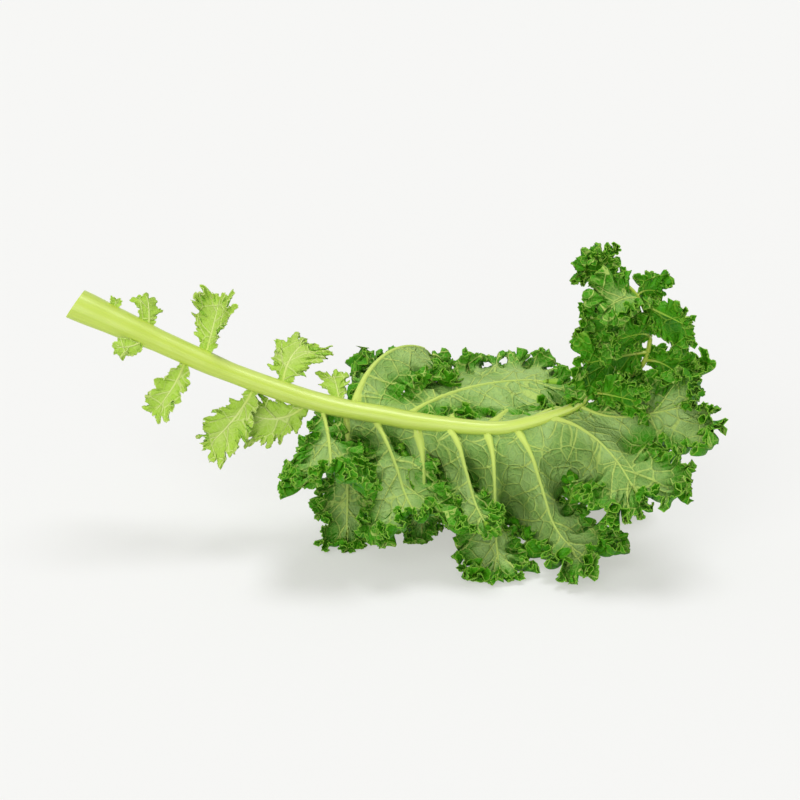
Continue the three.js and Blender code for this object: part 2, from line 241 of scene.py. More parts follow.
class Painter:
    """Builds up the nodes of one material, or of the world."""

    def __init__(self, owner: bpy.types.Material | bpy.types.World) -> None:
        """Starts with no nodes."""
        owner.use_nodes = True
        self.owner, self.tree = owner, owner.node_tree
        self.tree.nodes.clear()

    def add(self, kind: str, inputs: dict | tuple = (), out: int | str = 0,
            **settings: object) -> Socket | None:
        """Adds a node.

        Args:
            kind: Blender's name for the node, without its leading ShaderNode.
            inputs: a value, or an output to link from, for its inputs in order, or by name or number.
            out: which of its outputs is wanted.
            settings: the node's own settings.

        Returns:
            The wanted output, or None where the node has no outputs.
        """
        made = self.tree.nodes.new("ShaderNode" + kind)
        for key, value in settings.items():
            setattr(made, key, value)
        for key, value in (inputs if isinstance(inputs, dict) else dict(enumerate(inputs))).items():
            if isinstance(value, Socket):
                self.tree.links.new(value, made.inputs[key])
            else:
                made.inputs[key].default_value = value
        return made.outputs[out] if len(made.outputs) else None

    def finish(self, surface: Socket) -> bpy.types.Material | bpy.types.World:
        """Links the surface to the output and gives what it belongs to."""
        kind = "OutputWorld" if isinstance(self.owner, bpy.types.World) else "OutputMaterial"
        self.add(kind, {"Surface": surface})
        return self.owner


# ------------------------------------------------------------------ finishes

# What a blade's finish reads at each point: distance from the main vein in its half widths; a number that is
# whole on each side vein; millimetres between those; half a side vein's width; distance from the margin; and
# the share of the main vein that lies behind.
BLADE_MARKS = ("vein", "rank", "spacing", "branch", "depth", "ahead")
# And what a stalk's reads: distances along the fibres, across them and in from the skin.
STALK_MARKS = ("along", "around", "inset")


@dataclass(frozen=True)
class Net:
    """One order of the net of small veins, in millimetres."""

    cell: float                 # width of its meshes
    core: float                 # its lines have their full colour this far from their middle
    edge: float                 # and none from here
    foot: float                 # the ridge along a line ends this far from its middle
    height: float               # that ridge, as a share of the blade's relief
    share: float                # how strongly its lines show, as a share of the finish's net
    extra: float = 0.0          # added to that


@dataclass(frozen=True)
class Lamina:
    """Kale leaf blade: a waxy skin over soft green tissue, netted with veins.

    The wax makes it matt with a soft sheen, and light that falls on one side
    glows yellow-green through to the other.  Veins stand paler than the blade,
    and its thin rim is palest.
    """

    name: str
    blade: str
    shade: str
    margin: str
    vein: str
    rim: str
    roughness: float
    net: float                  # how strongly the finest veins show, from 0 to 1
    relief: float               # height of the fine relief, in millimetres
    root_vein: str = "#d2e672"  # the main vein where it leaves the midrib
    glow: str = "#b4dc3c"       # what passes through
    through: float = 0.18       # share of the light that passes through
    sheen: float = 0.18         # the wax's, where 0.5 is a plain gloss

    NETS = (
        Net(12.5, 0.16, 0.48, 1.0, 0.7, 1.0, 0.2),
        Net(5.2, 0.08, 0.36, 0.8, 0.35, 0.55),
        Net(2.1, 0.05, 0.3, 0.6, 0.2, 0.3),
    )
    LOOSE = 0.85                # how far the meshes are from even
    BEND_WAVE, BEND = 12.0, 2.0     # millimetres between the nets' bends, and how far they bend
    BLOTCH = 22.0               # millimetres across the paler and darker patches
    GRAIN = 0.9                 # millimetres across the skin's grain, drawn coarse enough to show

    def build(self) -> bpy.types.Material:
        """Makes the finish.

        Returns:
            The material.
        """
        p = Painter(bpy.data.materials.new(self.name))
        at = {mark: p.add("Attribute", out="Fac", attribute_name=mark) for mark in BLADE_MARKS}
        place = p.add("TexCoord", out="Object")
        wave = 1 / (self.BEND_WAVE * MM)
        warp = p.add("TexNoise", {"Vector": place, "Scale": wave, "Detail": 1.0}, "Color")
        offset = p.add("VectorMath", (warp, (0.5, 0.5, 0.5)), operation="SUBTRACT")
        bent = p.add("VectorMath", (offset, (self.BEND * MM,) * 3, place), operation="MULTIPLY_ADD")

        main = p.add("MapRange", (at["vein"], 0.85, 1.2, 1.0, 0.0), **FADE)
        off_rank = p.add("Math", (at["rank"], 0.5), operation="PINGPONG")
        off_line = p.add("Math", (off_rank, at["spacing"]), operation="MULTIPLY")
        wide = p.add("Math", (at["branch"], 0.05), operation="MAXIMUM")
        widths = p.add("Math", (off_line, wide), operation="DIVIDE")
        branch = p.add("MapRange", (widths, 0.5, 1.6, 1.0, 0.0), **FADE)

        lines = p.add("Math", (branch, min(1.0, self.net + 0.35)), operation="MULTIPLY")
        rise = 0.0
        for net in self.NETS:
            fine = {"Vector": bent, "Scale": 1 / (net.cell * MM), "Randomness": self.LOOSE}
            cells = p.add("TexVoronoi", fine, "Distance", feature="DISTANCE_TO_EDGE")
            off_line = p.add("Math", (cells, net.cell), operation="MULTIPLY")
            line = p.add("MapRange", (off_line, net.core, net.edge, 1.0, 0.0), **FADE)
            shown = p.add("Math", (line, min(1.0, self.net * net.share + net.extra)), operation="MULTIPLY")
            lines = p.add("Math", (lines, shown), operation="MAXIMUM")
            ridge = p.add("MapRange", (off_line, 0.0, net.foot, 1.0, 0.0), **FADE)
            rise = p.add("Math", (ridge, net.height, rise), operation="MULTIPLY_ADD")
        rise = p.add("Math", (branch, 0.5, rise), operation="MULTIPLY_ADD")
        rise = p.add("Math", (rise, p.add("Math", (1.0, main), operation="SUBTRACT")), operation="MULTIPLY")
        grain = p.add("TexNoise", {"Vector": place, "Scale": 1 / (self.GRAIN * MM), "Detail": 2.0})
        rise = p.add("Math", (grain, 0.25, rise), operation="MULTIPLY_ADD")
        bump = p.add("Bump", {"Height": rise, "Strength": 1.0, "Distance": self.relief * MM})

        blotch = p.add("TexNoise", {"Vector": place, "Scale": 1 / (self.BLOTCH * MM), "Detail": 3.0})
        rooted = p.add("MapRange", (at["ahead"], 0.05, 0.7, 1.0, 0.0), **FADE)
        layers = (
            (p.add("MapRange", (blotch, 0.35, 0.65, 1.0, 0.0), **FADE), colour(self.shade)),
            (p.add("MapRange", (at["depth"], 4.0, 17.0, 1.0, 0.0), **FADE), colour(self.margin)),
            (lines, colour(self.vein)),
            (main, p.add("Mix", {0: rooted, 6: colour(self.vein), 7: colour(self.root_vein)}, **DYE)),
            (p.add("MapRange", (at["depth"], 0.08, 0.34, 1.0, 0.0), **FADE), colour(self.rim)),
        )
        tint = colour(self.blade)
        for share, over in layers:
            tint = p.add("Mix", {0: share, 6: tint, 7: over}, **DYE)

        skin = p.add("BsdfPrincipled", {"Base Color": tint, "Roughness": self.roughness, "Normal": bump,
                                        "Specular IOR Level": self.sheen})
        glow = p.add("Mix", {0: 0.4, 6: tint, 7: colour(self.glow)}, **DYE)
        passing = p.add("BsdfTranslucent", {"Color": glow, "Normal": bump})
        return p.finish(p.add("MixShader", (self.through, skin, passing)))


@dataclass(frozen=True)
class Stem:
    """Kale stalk: firm, juicy and smooth, with faint lengthwise fibres.

    Its waxed skin takes a broad soft highlight, and it pales in long patches.
    """

    name: str = "waxed_leaf_stalk"
    skin: str = "#b6cc48"
    fibre: str = "#b0c640"
    pale: str = "#c8da6c"
    roughness: float = 0.32
    FIBRE = 0.9                 # millimetres between fibres
    PATCH = 6.25                # millimetres across the pale patches
    DRAWN_OUT = 50              # how many times longer than wide the pattern is

    def build(self) -> bpy.types.Material:
        """Makes the finish.

        Returns:
            The material.
        """
        p = Painter(bpy.data.materials.new(self.name))
        length, around = (p.add("Attribute", out="Fac", attribute_name=mark) for mark in ("along", "around"))
        drawn = p.add("Math", (length, 1 / self.DRAWN_OUT), operation="MULTIPLY")
        place = p.add("CombineXYZ", (drawn, around))
        streak = p.add("TexNoise", {"Vector": place, "Scale": 1 / self.FIBRE, "Detail": 3.0,
                                    "Roughness": 0.6})
        broad = p.add("TexNoise", {"Vector": place, "Scale": 1 / self.PATCH, "Detail": 2.0})
        fibres = p.add("MapRange", (streak, 0.38, 0.62, 1.0, 0.0), **FADE)
        patches = p.add("MapRange", (broad, 0.4, 0.62, 0.5, 0.0), **FADE)
        tint = p.add("Mix", {0: fibres, 6: colour(self.skin), 7: colour(self.fibre)}, **DYE)
        tint = p.add("Mix", {0: patches, 6: tint, 7: colour(self.pale)}, **DYE)
        bump = p.add("Bump", {"Height": streak, "Strength": 0.4, "Distance": 0.2 * MM})
        skin = p.add("BsdfPrincipled", {"Base Color": tint, "Roughness": self.roughness, "Normal": bump,
                                        "Specular IOR Level": 0.5, "Subsurface Weight": 0.15,
                                        "Subsurface Radius": (0.8, 1.0, 0.3), "Subsurface Scale": 2 * MM})
        return p.finish(skin)


@dataclass(frozen=True)
class CutPith:
    """The cut face of a stalk: wet pith inside a ring of green skin."""

    name: str = "cut_stalk_pith"
    pith: str = "#d9e7a0"
    ring: str = "#c3da66"
    roughness: float = 0.3
    CELL = 0.7                  # millimetres between the pith's cells, drawn coarse enough to show

    def build(self) -> bpy.types.Material:
        """Makes the finish.

        Returns:
            The material.
        """
        p = Painter(bpy.data.materials.new(self.name))
        place = p.add("TexCoord", out="Object")
        cells = p.add("TexVoronoi", {"Vector": place, "Scale": 1 / (self.CELL * MM)}, "Distance")
        inset = p.add("Attribute", out="Fac", attribute_name="inset")
        outer = p.add("MapRange", (inset, 0.1, 1.6, 1.0, 0.0), **FADE)
        tint = p.add("Mix", {0: outer, 6: colour(self.pith), 7: colour(self.ring)}, **DYE)
        bump = p.add("Bump", {"Height": cells, "Strength": 0.5, "Distance": 0.2 * MM})
        face = p.add("BsdfPrincipled", {"Base Color": tint, "Roughness": self.roughness, "Normal": bump})
        return p.finish(face)


UNDERSIDE = Lamina(
    "waxy_kale_underside", "#a8ca7a", "#84ae58", "#489c10", "#c8e074", "#8ec43e", 0.6, 0.55, 0.7)
# The upper side is a deep green of its own, and its blade and patch colours are darker still: painted shade
# for the hollows of the curled margins, where this side mostly shows.
UPPER_SIDE = Lamina(
    "kale_upper_side", "#38880a", "#1e6204", "#469a0e", "#98c63c", "#8ec43e", 0.45, 0.3, 0.7)
YOUNG_UNDERSIDE = Lamina(
    "young_kale_underside", "#c6de76", "#b4d45a", "#acd248", "#dfeb98", "#d4e888", 0.6, 0.4, 0.5)
YOUNG_UPPER_SIDE = Lamina(
    "young_kale_upper_side", "#90c436", "#78b22a", "#96ca3e", "#cce87a", "#d8ee88", 0.45, 0.3, 0.5)

# ------------------------------------------------------------------ lobes


class Age(Enum):
    """How grown a lobe is, with the name of a slot in the record; the finishes themselves are given to each
    group.
    """

    YOUNG = "young_leaf"
    GROWN = "underside"
    END = "upper_side"


@dataclass(frozen=True)
class Lobe:
    """One lobe's growth: it leaves the midrib `at` millimetres from the cut end.

    Each row of angles, in degrees, runs from the vein's root to its end: heading
    seen from above, slope, and roll about the vein.  Widths and folds are left of
    the heading first.  `web` is the share of its vein joined to the lobe before.
    """

    name: str
    at: float
    length: float
    width: Pair
    heading: Profile
    rise: Profile
    roll: Profile
    fold: Pair
    curl: float
    web: float = 0.0
    lip: float | None = None    # its own lip, where it isn't its habit's
    pleat: float = 0.1          # how deep the web sinks, in shares of the gap between its two veins


@dataclass(frozen=True)
class Weave:
    """Fineness of a lobe's mesh; along and fan are multiples of eight."""

    along: int                  # columns beside the vein, on either side
    fan: int                    # and round its end
    inner: int                  # rows from the vein to the margin
    outer: int                  # and in the margin
    edge: float                 # millimetres of margin, about, to a triangle's side

    @property
    def last(self) -> int:
        """The last column."""
        return 2 * self.along + self.fan


@dataclass(frozen=True)
class Ruffle:
    """One order of waves in the margin, in millimetres."""

    wave: float
    height: float
    zone: float                 # how far in from the margin it reaches
    overhang: float             # 1 makes its crossings upright, more tips them over


@dataclass(frozen=True)
class Habit:
    """How a lobe's margin grows, in millimetres and degrees."""

    ruffles: tuple[Ruffle, ...]
    lip: float                  # how far the margin rolls over, towards the underside
    lip_swing: float            # how much that varies along the margin
    lobing: float               # how deeply the outline is lobed, as a share of its width
    lobe_wave: float
    tooth: float                # height of its teeth
    tooth_every: float


CURLED = Habit(
    (Ruffle(20, 4.8, 24, 1.0), Ruffle(8.0, 2.9, 13, 1.2), Ruffle(3.2, 0.7, 4.5, 1.0)),
    55, 60, 0.09, 26, 0.9, 3.0)
FRILLED = Habit(
    (Ruffle(18, 4.4, 20, 1.0), Ruffle(7.5, 2.8, 12, 1.2), Ruffle(3.2, 0.7, 4.5, 1.0)),
    -45, 60, 0.18, 18, 0.9, 3.0)
TENDER = Habit((Ruffle(11, 1.1, 8, 0.7), Ruffle(4.5, 0.5, 3, 0.9)), 0, 24, 0.2, 9, 0.9, 2.4)


@dataclass
class Sheet:
    """A lobe's middle surface: columns round the lobe by rows from vein to margin."""

    points: Array
    free: Array                 # for each column, 1 where its margin is free and 0 where it is joined
    depth: Array                # distance from the free margin
    along_rib: Array            # distance from the vein
    half: Array                 # for each column, half the main vein's width
    marks: dict[str, Array]     # what the finish reads
    ridge: Array | None = None  # how far the veins stand out of the underside
    groove: Array | None = None     # and into the upper side

    def margin(self) -> Array:
        """Distance along the free margin, at each column."""
        return running(self.points[:, -1], self.free[1:] * self.free[:-1])

    def left(self) -> Array:
        """How much of each rib lies ahead, from 1 at the vein to 0 at the margin."""
        return 1 - self.along_rib / self.along_rib[:, -1:]


class LobeGrower:
    """Works out one lobe's surface from its growth."""

    VEIN_STEPS = 800
    VEIN_SUNK = 0.45            # where the vein starts inside the midrib, in shares of its girth
    VEIN_HALF = (1.4, 1.15, 0.9, 0.5)       # half the main vein's width on a full lobe, in millimetres
    VEIN_AT = (0, 0.12, 0.55, 1)            # and where along it
    VEIN_ROWS = (0.0, 0.45, 0.8, 1.05, 1.5)     # rows beside the vein, in its half widths
    VEIN_HEIGHTS = (1.0, 0.86, 0.5, 0.14, 0.0)  # how high it stands at each
    VEIN_HIGH = 0.95            # its height, in half widths
    VEIN_MOST = 0.22            # the most of a rib that half the main vein takes
    FULL_LENGTH = 85.0          # millimetres of a lobe whose main vein is full sized
    ROOT_WIDTH = 0.14           # a lobe's width at its root, as a share of its widest
    ARC, LATE = 0.7, 1.1        # its outline is this share of a sine's hump, and widens this late
    CURLY_ZONE = 13.0           # millimetres of margin with close rows
    LIP_ZONE = 11.0             # millimetres of margin that roll over
    ZONE_SHARE = 0.55           # the most of a rib that either takes
    LIP_WAVE = 40.0
    ROLLED = 0.006              # share of the rolled margin that ribs grow longer by, for each degree of roll
    CROWDING = 1.25             # how much closer the rows get towards the margin
    JOIN_RUN = 0.35             # share of the vein over which a joined side comes free
    PUCKERS = ((1.1, 26, 5), (0.5, 12, 6))      # the blade's dents: height, wave and seed
    PUCKER_START = 8.0          # millimetres from the main vein over which they begin
    WAVES_START, SKIPPED = 12.0, 0.15   # millimetres over which its waves begin, and the share left out
    CALMEST, WILDEST = 0.15, 1.8    # bounds of a wave's height, as shares of the usual
    TOOTH_ZONE = 2.6
    BRANCH_EVERY = 14.0         # millimetres between side veins
    BRANCH_HALF = 0.62          # half a side vein's width, on a large lobe
    BRANCH_LEAN = 0.35          # how far it goes ahead, for each millimetre out
    BULGE = 0.9                 # how far the blade sinks between side veins

    def __init__(self, lobe: Lobe, weave: Weave, habit: Habit) -> None:
        """Grows the vein and sets out the columns round the lobe.

        Args:
            lobe: the lobe.
            weave: how fine its mesh is.
            habit: how its margin grows.
        """
        self.lobe, self.weave, self.habit = lobe, weave, habit
        self.webs: dict[int, Web] = {}      # by the side that they are on
        self.seed = sum(ord(c) * (i + 3) for i, c in enumerate(lobe.name))
        k, f = weave.along, weave.fan
        self.t = np.linspace(0, 1, k + 1)
        self.vein, self.frames = self.walk(self.t)
        share = 1 - 2 * np.arange(1, f) / f
        self.station = np.concatenate([np.arange(k + 1), np.full(f - 1, k), np.arange(k, -1, -1)])
        self.sign = np.concatenate([np.ones(k + 1), np.zeros(f - 1), -np.ones(k + 1)])
        self.spread = np.concatenate([np.ones(k + 1), share, -np.ones(k + 1)])

    def walk(self, t: Array) -> tuple[Array, tuple[Array, Array, Array]]:
        """Follows the vein.

        Args:
            t: shares of its length.

        Returns:
            Its points there, and its frames: tangents, sides and normals.
        """
        fine = np.linspace(0, 1, self.VEIN_STEPS + 1)
        step = self.lobe.length * VEIN_SHARE / self.VEIN_STEPS
        steps = self.frame_at((fine[1:] + fine[:-1]) / 2)[0] * step
        leaving = self.frame_at(np.zeros(1))[0][0]
        root = MIDRIB.at(self.lobe.at) + leaving * self.VEIN_SUNK * Midrib.girth(self.lobe.at)
        line = root + np.vstack([np.zeros(3), np.cumsum(steps, axis=0)])
        return np.stack([np.interp(t, fine, line[:, i]) for i in range(3)], -1), self.frame_at(t)

    def frame_at(self, t: Array) -> tuple[Array, Array, Array]:
        """The vein's frame.

        Args:
            t: shares of its length.

        Returns:
            Its tangents, its sides, to the left, and its normals, out of the underside.
        """
        profiles = (self.lobe.heading, self.lobe.rise, self.lobe.roll)
        h, r, roll = (rad(along(profile, t)) for profile in profiles)
        tangent = np.stack([np.cos(r) * np.cos(h), np.cos(r) * np.sin(h), np.sin(r)], -1)
        level = np.stack([-np.sin(h), np.cos(h), 0 * h], -1)
        side = level * np.cos(roll)[:, None] + np.cross(tangent, level) * np.sin(roll)[:, None]
        return tangent, side, np.cross(tangent, side)

    def vein_half(self, t: Array) -> Array:
        """Half the main vein's width along it."""
        scale = min(1.0, mix(0.35, 1.0, self.lobe.length / self.FULL_LENGTH))
        return scale * np.interp(t, self.VEIN_AT, self.VEIN_HALF)

    def half_width(self, t: Array, side: int) -> Array:
        """Distance from the vein to the margin, on the left side, 0, or the right side, 1."""
        return self.lobe.width[side] * mix(self.ROOT_WIDTH, 1.0, np.sin(self.ARC * math.pi * t ** self.LATE))

    def reach(self) -> tuple[Array, Array]:
        """Sets out the ribs.

        Returns:
            Each rib's angle from the vein, and its length.
        """
        t, beside = self.t[self.station], self.sign != 0
        angle = np.where(beside, self.sign * rad(mix(ROOT_ANGLE, FAN_ANGLE, t)), self.spread * rad(FAN_ANGLE))
        side = np.where(self.spread > 0, self.half_width(t, 0), self.half_width(t, 1))
        ends = self.lobe.length * (1 - VEIN_SHARE)
        fan = mix(ends, side / math.sin(rad(FAN_ANGLE)), self.spread ** 2)
        slant = np.where(beside, np.sin(np.abs(angle)), 1.0)
        return angle, np.where(beside, side / slant, fan)

    def grow(self) -> Sheet:
        """The lobe's surface.

        Returns:
            The middle surface with everything that its finish reads.
        """
        sheet = self.plain()
        for order, ruffle in enumerate(self.habit.ruffles):
            if order == len(self.habit.ruffles) - 1:
                self.cut_teeth(sheet)
            self.throw(sheet, ruffle, order)
        self.mark(sheet)
        return sheet

    def plain(self) -> Sheet:
        """The surface before it ruffles.

        Returns:
            The surface, dented a little all over.
        """
        habit, (tangent, side, normal) = self.habit, (axis[self.station] for axis in self.frames)
        angle, length = self.reach()
        outline = self.vein[self.station] + length[:, None] * (
            np.sin(angle)[:, None] * side + np.cos(angle)[:, None] * tangent)
        round_edge = running(outline)
        lip_zone = np.minimum(self.LIP_ZONE, self.ZONE_SHARE * length)
        lobed = 1 + habit.lobing * wander(round_edge, habit.lobe_wave, self.seed)
        length = length * lobed + self.ROLLED * abs(habit.lip) * lip_zone
        half = np.minimum(self.vein_half(self.t[self.station]), self.VEIN_MOST * length)
        s = self.rows(length, half)

        lip = habit.lip if self.lobe.lip is None else self.lobe.lip
        lip = rad(lip + habit.lip_swing * wander(round_edge, self.LIP_WAVE, self.seed + 1))
        middle = (s[:, 1:] + s[:, :-1]) / 2
        curl = rad(self.lobe.curl) * middle / length[:, None]
        curl = curl + lip[:, None] * smooth((middle - (length - lip_zone)[:, None]) / lip_zone[:, None])
        fold = rad(np.array(self.lobe.fold))[np.where(self.spread > 0, 0, 1)][:, None]
        step = np.diff(s, axis=1)
        lateral, forward = np.abs(np.sin(angle))[:, None] * step, np.cos(angle)[:, None] * step
        out = np.cumsum(lateral * np.cos(fold + curl), 1)[..., None]
        lift = np.cumsum(lateral * np.sin(fold + curl) + forward * np.sin(curl), 1)[..., None]
        ahead = np.cumsum(forward * np.cos(curl), 1)[..., None]
        signs = np.where(self.spread >= 0, 1.0, -1.0)[:, None, None]
        points = np.zeros((*s.shape, 3)) + self.vein[self.station][:, None]
        points[:, 1:] += out * signs * side[:, None] + lift * normal[:, None] + ahead * tangent[:, None]

        free, beyond = self.attach(points, s)
        pieces = np.linalg.norm(np.diff(points, axis=1), axis=-1)
        depth = np.concatenate([np.cumsum(pieces[:, ::-1], 1)[:, ::-1], np.zeros((len(s), 1))], 1)
        depth = np.hypot(depth, beyond[:, None])
        dents = sum(height * swell(points, wave, seed) for height, wave, seed in self.PUCKERS)
        room = smooth((s - self.VEIN_ROWS[-1] * half[:, None]) / self.PUCKER_START)
        points = points + normals_of(points)[0] * (dents * room)[..., None]
        return Sheet(points, free, depth, s, half, {})

    def rows(self, length: Array, half: Array) -> Array:
        """Sets out the rows, close together beside the main vein and in the margin.

        Args:
            length: each rib's length.
            half: for each rib, half the main vein's width.

        Returns:
            Where each rib crosses each row, as distances from the vein.
        """
        inner, outer = self.weave.inner, self.weave.outer
        curly = np.minimum(self.CURLY_ZONE, self.ZONE_SHARE * length)
        rows = [half * x for x in self.VEIN_ROWS]
        rows += [mix(rows[-1], length - curly, i / (inner + 1)) for i in range(1, inner + 1)]
        rows += [length - curly * (1 - i / outer) ** self.CROWDING for i in range(outer + 1)]
        return np.stack(rows, 1)

    def attach(self, points: Array, s: Array) -> tuple[Array, Array]:
        """Moves the joined sides on to their webs.

        Args:
            points: the surface, which is changed.
            s: distances from the vein.

        Returns:
            For each column, 1 where its margin is free and 0 where it is joined, and how
            far along the seam the free margin is.
        """
        free, beyond = np.ones(len(s)), np.zeros(len(s))
        for sign, web in self.webs.items():
            mine = self.sign == sign
            k = self.station[mine]
            joined = np.minimum(k, web.last)
            share = smooth((k - web.last) / (self.JOIN_RUN * self.weave.along))
            q = s[mine] / s[mine, -1:]
            ahead = (self.vein[k] - self.vein[joined])[:, None]
            sheet = web.cross(joined, q, sign) + ahead * (1 - q)[..., None]
            points[mine] = mix(sheet, points[mine], share[:, None, None])
            free[mine] = k > web.last
            seam = running(web.seam)
            beyond[mine] = np.interp(k, np.arange(web.last + 1), seam[-1] - seam, right=0.0)
        return free, beyond

    def throw(self, sheet: Sheet, ruffle: Ruffle, order: int) -> None:
        """Throws the margin into one more order of waves.

        Args:
            sheet: the surface, which is changed.
            ruffle: the waves.
            order: which order they are.
        """
        run = sheet.margin()
        seed = self.seed + 10 * order
        gate = smooth(np.minimum(run, run[-1] - run) / self.WAVES_START + self.SKIPPED) * sheet.free
        size = min(1.0, 0.6 + min(self.lobe.width) / 40)
        phase = 2 * math.pi * run / (ruffle.wave * size ** 0.5) + 1.1 * wander(run, 2.6 * ruffle.wave, seed)
        uneven = (1 + 0.5 * wander(run, 2.3 * ruffle.wave, seed + 1)).clip(self.CALMEST, self.WILDEST)
        height = ruffle.height * size * gate * uneven
        zone = np.minimum(ruffle.zone, 0.9 * sheet.along_rib[:, -1])
        envelope = np.clip(1 - sheet.depth / zone[:, None], 0, 1) ** 1.5
        normal, edgewise = normals_of(sheet.points)
        wave = np.sin(phase) * height
        # Waves along the edge that are half as long, and this high, make the crossings upright.
        upright = ruffle.wave / (4 * math.pi)
        tip = -ruffle.overhang * upright * np.sin(2 * phase) * (height / ruffle.height)
        sheet.points = sheet.points + envelope[..., None] * (
            normal * wave[:, None, None] + edgewise * tip[:, None, None])

    def cut_teeth(self, sheet: Sheet) -> None:
        """Draws the margin out into small pointed teeth.

        Args:
            sheet: the surface, which is changed.
        """
        run, every = sheet.margin(), self.habit.tooth_every
        at = run / every + 0.35 * wander(run, 3.3 * every, self.seed + 7)
        # Each point is drawn in at its sides, and no two are alike.
        tooth = np.abs(2 * (at % 1) - 1) ** 1.4 * (0.8 + 0.3 * wander(run, 9, self.seed + 8)) * sheet.free
        share = np.clip(1 - sheet.depth / self.TOOTH_ZONE, 0, 1)
        out = unit(np.gradient(sheet.points, axis=1))
        sheet.points = sheet.points + out * (self.habit.tooth * tooth[:, None] * share)[..., None]

    def mark(self, sheet: Sheet) -> None:
        """Notes what the finish reads at each point, and raises the veins.

        Args:
            sheet: the surface, which is changed.
        """
        lobe, s, half, left = self.lobe, sheet.along_rib, sheet.half[:, None], sheet.left()
        tip, outwards = (self.sign == 0)[:, None], np.abs(self.spread)[:, None]
        across = s * np.where(tip, np.abs(np.sin(self.spread * rad(FAN_ANGLE)))[:, None], 1.0)
        vein = across / np.maximum(np.where(tip, half * left, half), 0.05)
        vein = vein + 2 * tip * smooth((0.45 - left) / 0.2)     # it runs out before the margin

        # Side veins leave every so often, not opposite one another, and go on round the tip.
        travelled = (self.t[self.station] * lobe.length * VEIN_SHARE)[:, None]
        round_tip = 0.6 * (1 - outwards) * self.BRANCH_EVERY
        rank = (travelled + round_tip - self.BRANCH_LEAN * outwards * s) / self.BRANCH_EVERY
        rank = rank + np.where(self.spread > 0, 0.2, 0.65)[:, None]
        rank = rank + 0.08 * swell(sheet.points, 30, self.seed)
        gap = np.linalg.norm(np.gradient(sheet.points, axis=0), axis=-1)
        spacing = np.clip(gap / np.maximum(np.abs(np.gradient(rank, axis=0)), 1e-4), 0.5, 40)

        # They thin outwards, and are lost near the margin and where they crowd.
        branch = self.BRANCH_HALF * min(1.0, 0.4 + lobe.length / 120) * mix(0.55, 1.0, left)
        branch = branch * np.where(tip, smooth((left - 0.2) / 0.4), smooth(left / 0.2))
        branch = branch * smooth((spacing - 1.0) / 3.0)
        off_line = np.abs(rank - np.round(rank)) * spacing
        ridge = 0.5 * branch / 0.6 * np.exp(-(off_line / np.maximum(branch, 0.05)) ** 2)
        ridge = np.where(s > half, ridge, 0)
        vein_ridge = np.zeros_like(s)
        vein_ridge[:, :len(self.VEIN_ROWS)] = np.array(self.VEIN_HEIGHTS) * self.VEIN_HIGH * half
        sheet.ridge, sheet.groove = vein_ridge + ridge, 0.3 * vein_ridge + 0.5 * ridge

        bulge = -self.BULGE * min(1.0, lobe.length / 60) * np.abs(np.sin(math.pi * rank)) ** 0.8
        bulge = bulge * smooth(s / 6) * smooth(left / 0.4)
        sheet.points = sheet.points + normals_of(sheet.points)[0] * bulge[..., None]
        ahead = np.broadcast_to(self.t[self.station][:, None], s.shape)
        sheet.marks = dict(zip(BLADE_MARKS, (vein, rank, spacing, branch, sheet.depth, ahead)))


class Web:
    """The web of blade between two neighbouring lobes, which meet along its seam."""

    LATE, NARROW = 1.4, 2.5     # how late along the veins it sinks, and how closely about the seam

    def __init__(self, first: LobeGrower, second: LobeGrower, last: int, pleat: float) -> None:
        """Lays the web.

        Args:
            first: the lobe that has the web on its left.
            second: the lobe that has it on its right.
            last: the last joined station.
            pleat: how deep it sinks between the veins, as a share of their spacing.
        """
        self.last = last
        self.stations = np.arange(last + 1)
        self.start, self.end = first.vein[:last + 1], second.vein[:last + 1]
        wide = np.linalg.norm(self.end - self.start, axis=-1, keepdims=True)
        self.leaving, self.arriving = self.slope(first, LEFT) * wide, -self.slope(second, RIGHT) * wide
        down = -unit(first.frames[2][:last + 1] + second.frames[2][:last + 1])
        self.dip = pleat * wide * (self.stations / max(last, 1))[:, None] ** self.LATE * down
        self.seam = self.place(np.full((last + 1, 1), 0.5), self.stations)[:, 0]

    def slope(self, grower: LobeGrower, sign: int) -> Array:
        """The way that a lobe's blade leaves its vein.

        Args:
            grower: the lobe.
            sign: which of its sides.

        Returns:
            A unit vector at each station.
        """
        angle = rad(mix(ROOT_ANGLE, FAN_ANGLE, grower.t[self.stations]))[:, None]
        fold = rad(grower.lobe.fold[0 if sign == LEFT else 1])
        tangent, side, normal = (axis[self.stations] for axis in grower.frames)
        out = sign * math.cos(fold) * side + math.sin(fold) * normal
        return np.sin(angle) * out + np.cos(angle) * tangent

    def place(self, w: Array, stations: Array) -> Array:
        """Points of the web.

        Args:
            w: shares of the way from the first vein to the second, in a row for each station.
            stations: the stations.

        Returns:
            The points.
        """
        w = w[..., None]
        start, leaving, end, arriving, dip = (
            line[stations][:, None] for line in (self.start, self.leaving, self.end, self.arriving, self.dip))
        curve = ((1 + 2 * w) * (1 - w) ** 2 * start + w * (1 - w) ** 2 * leaving
                 + w ** 2 * (3 - 2 * w) * end + w ** 2 * (w - 1) * arriving)
        return curve + (4 * w * (1 - w)) ** self.NARROW * dip

    def cross(self, stations: Array, q: Array, sign: int) -> Array:
        """Points of one lobe's half of the web.

        Args:
            stations: the stations.
            q: shares of the way from that lobe's vein to the seam, in a row for each.
            sign: the side of that vein that the web is on.

        Returns:
            The points.
        """
        return self.place(q / 2 if sign == LEFT else 1 - q / 2, stations)


# ------------------------------------------------------------------ meshes


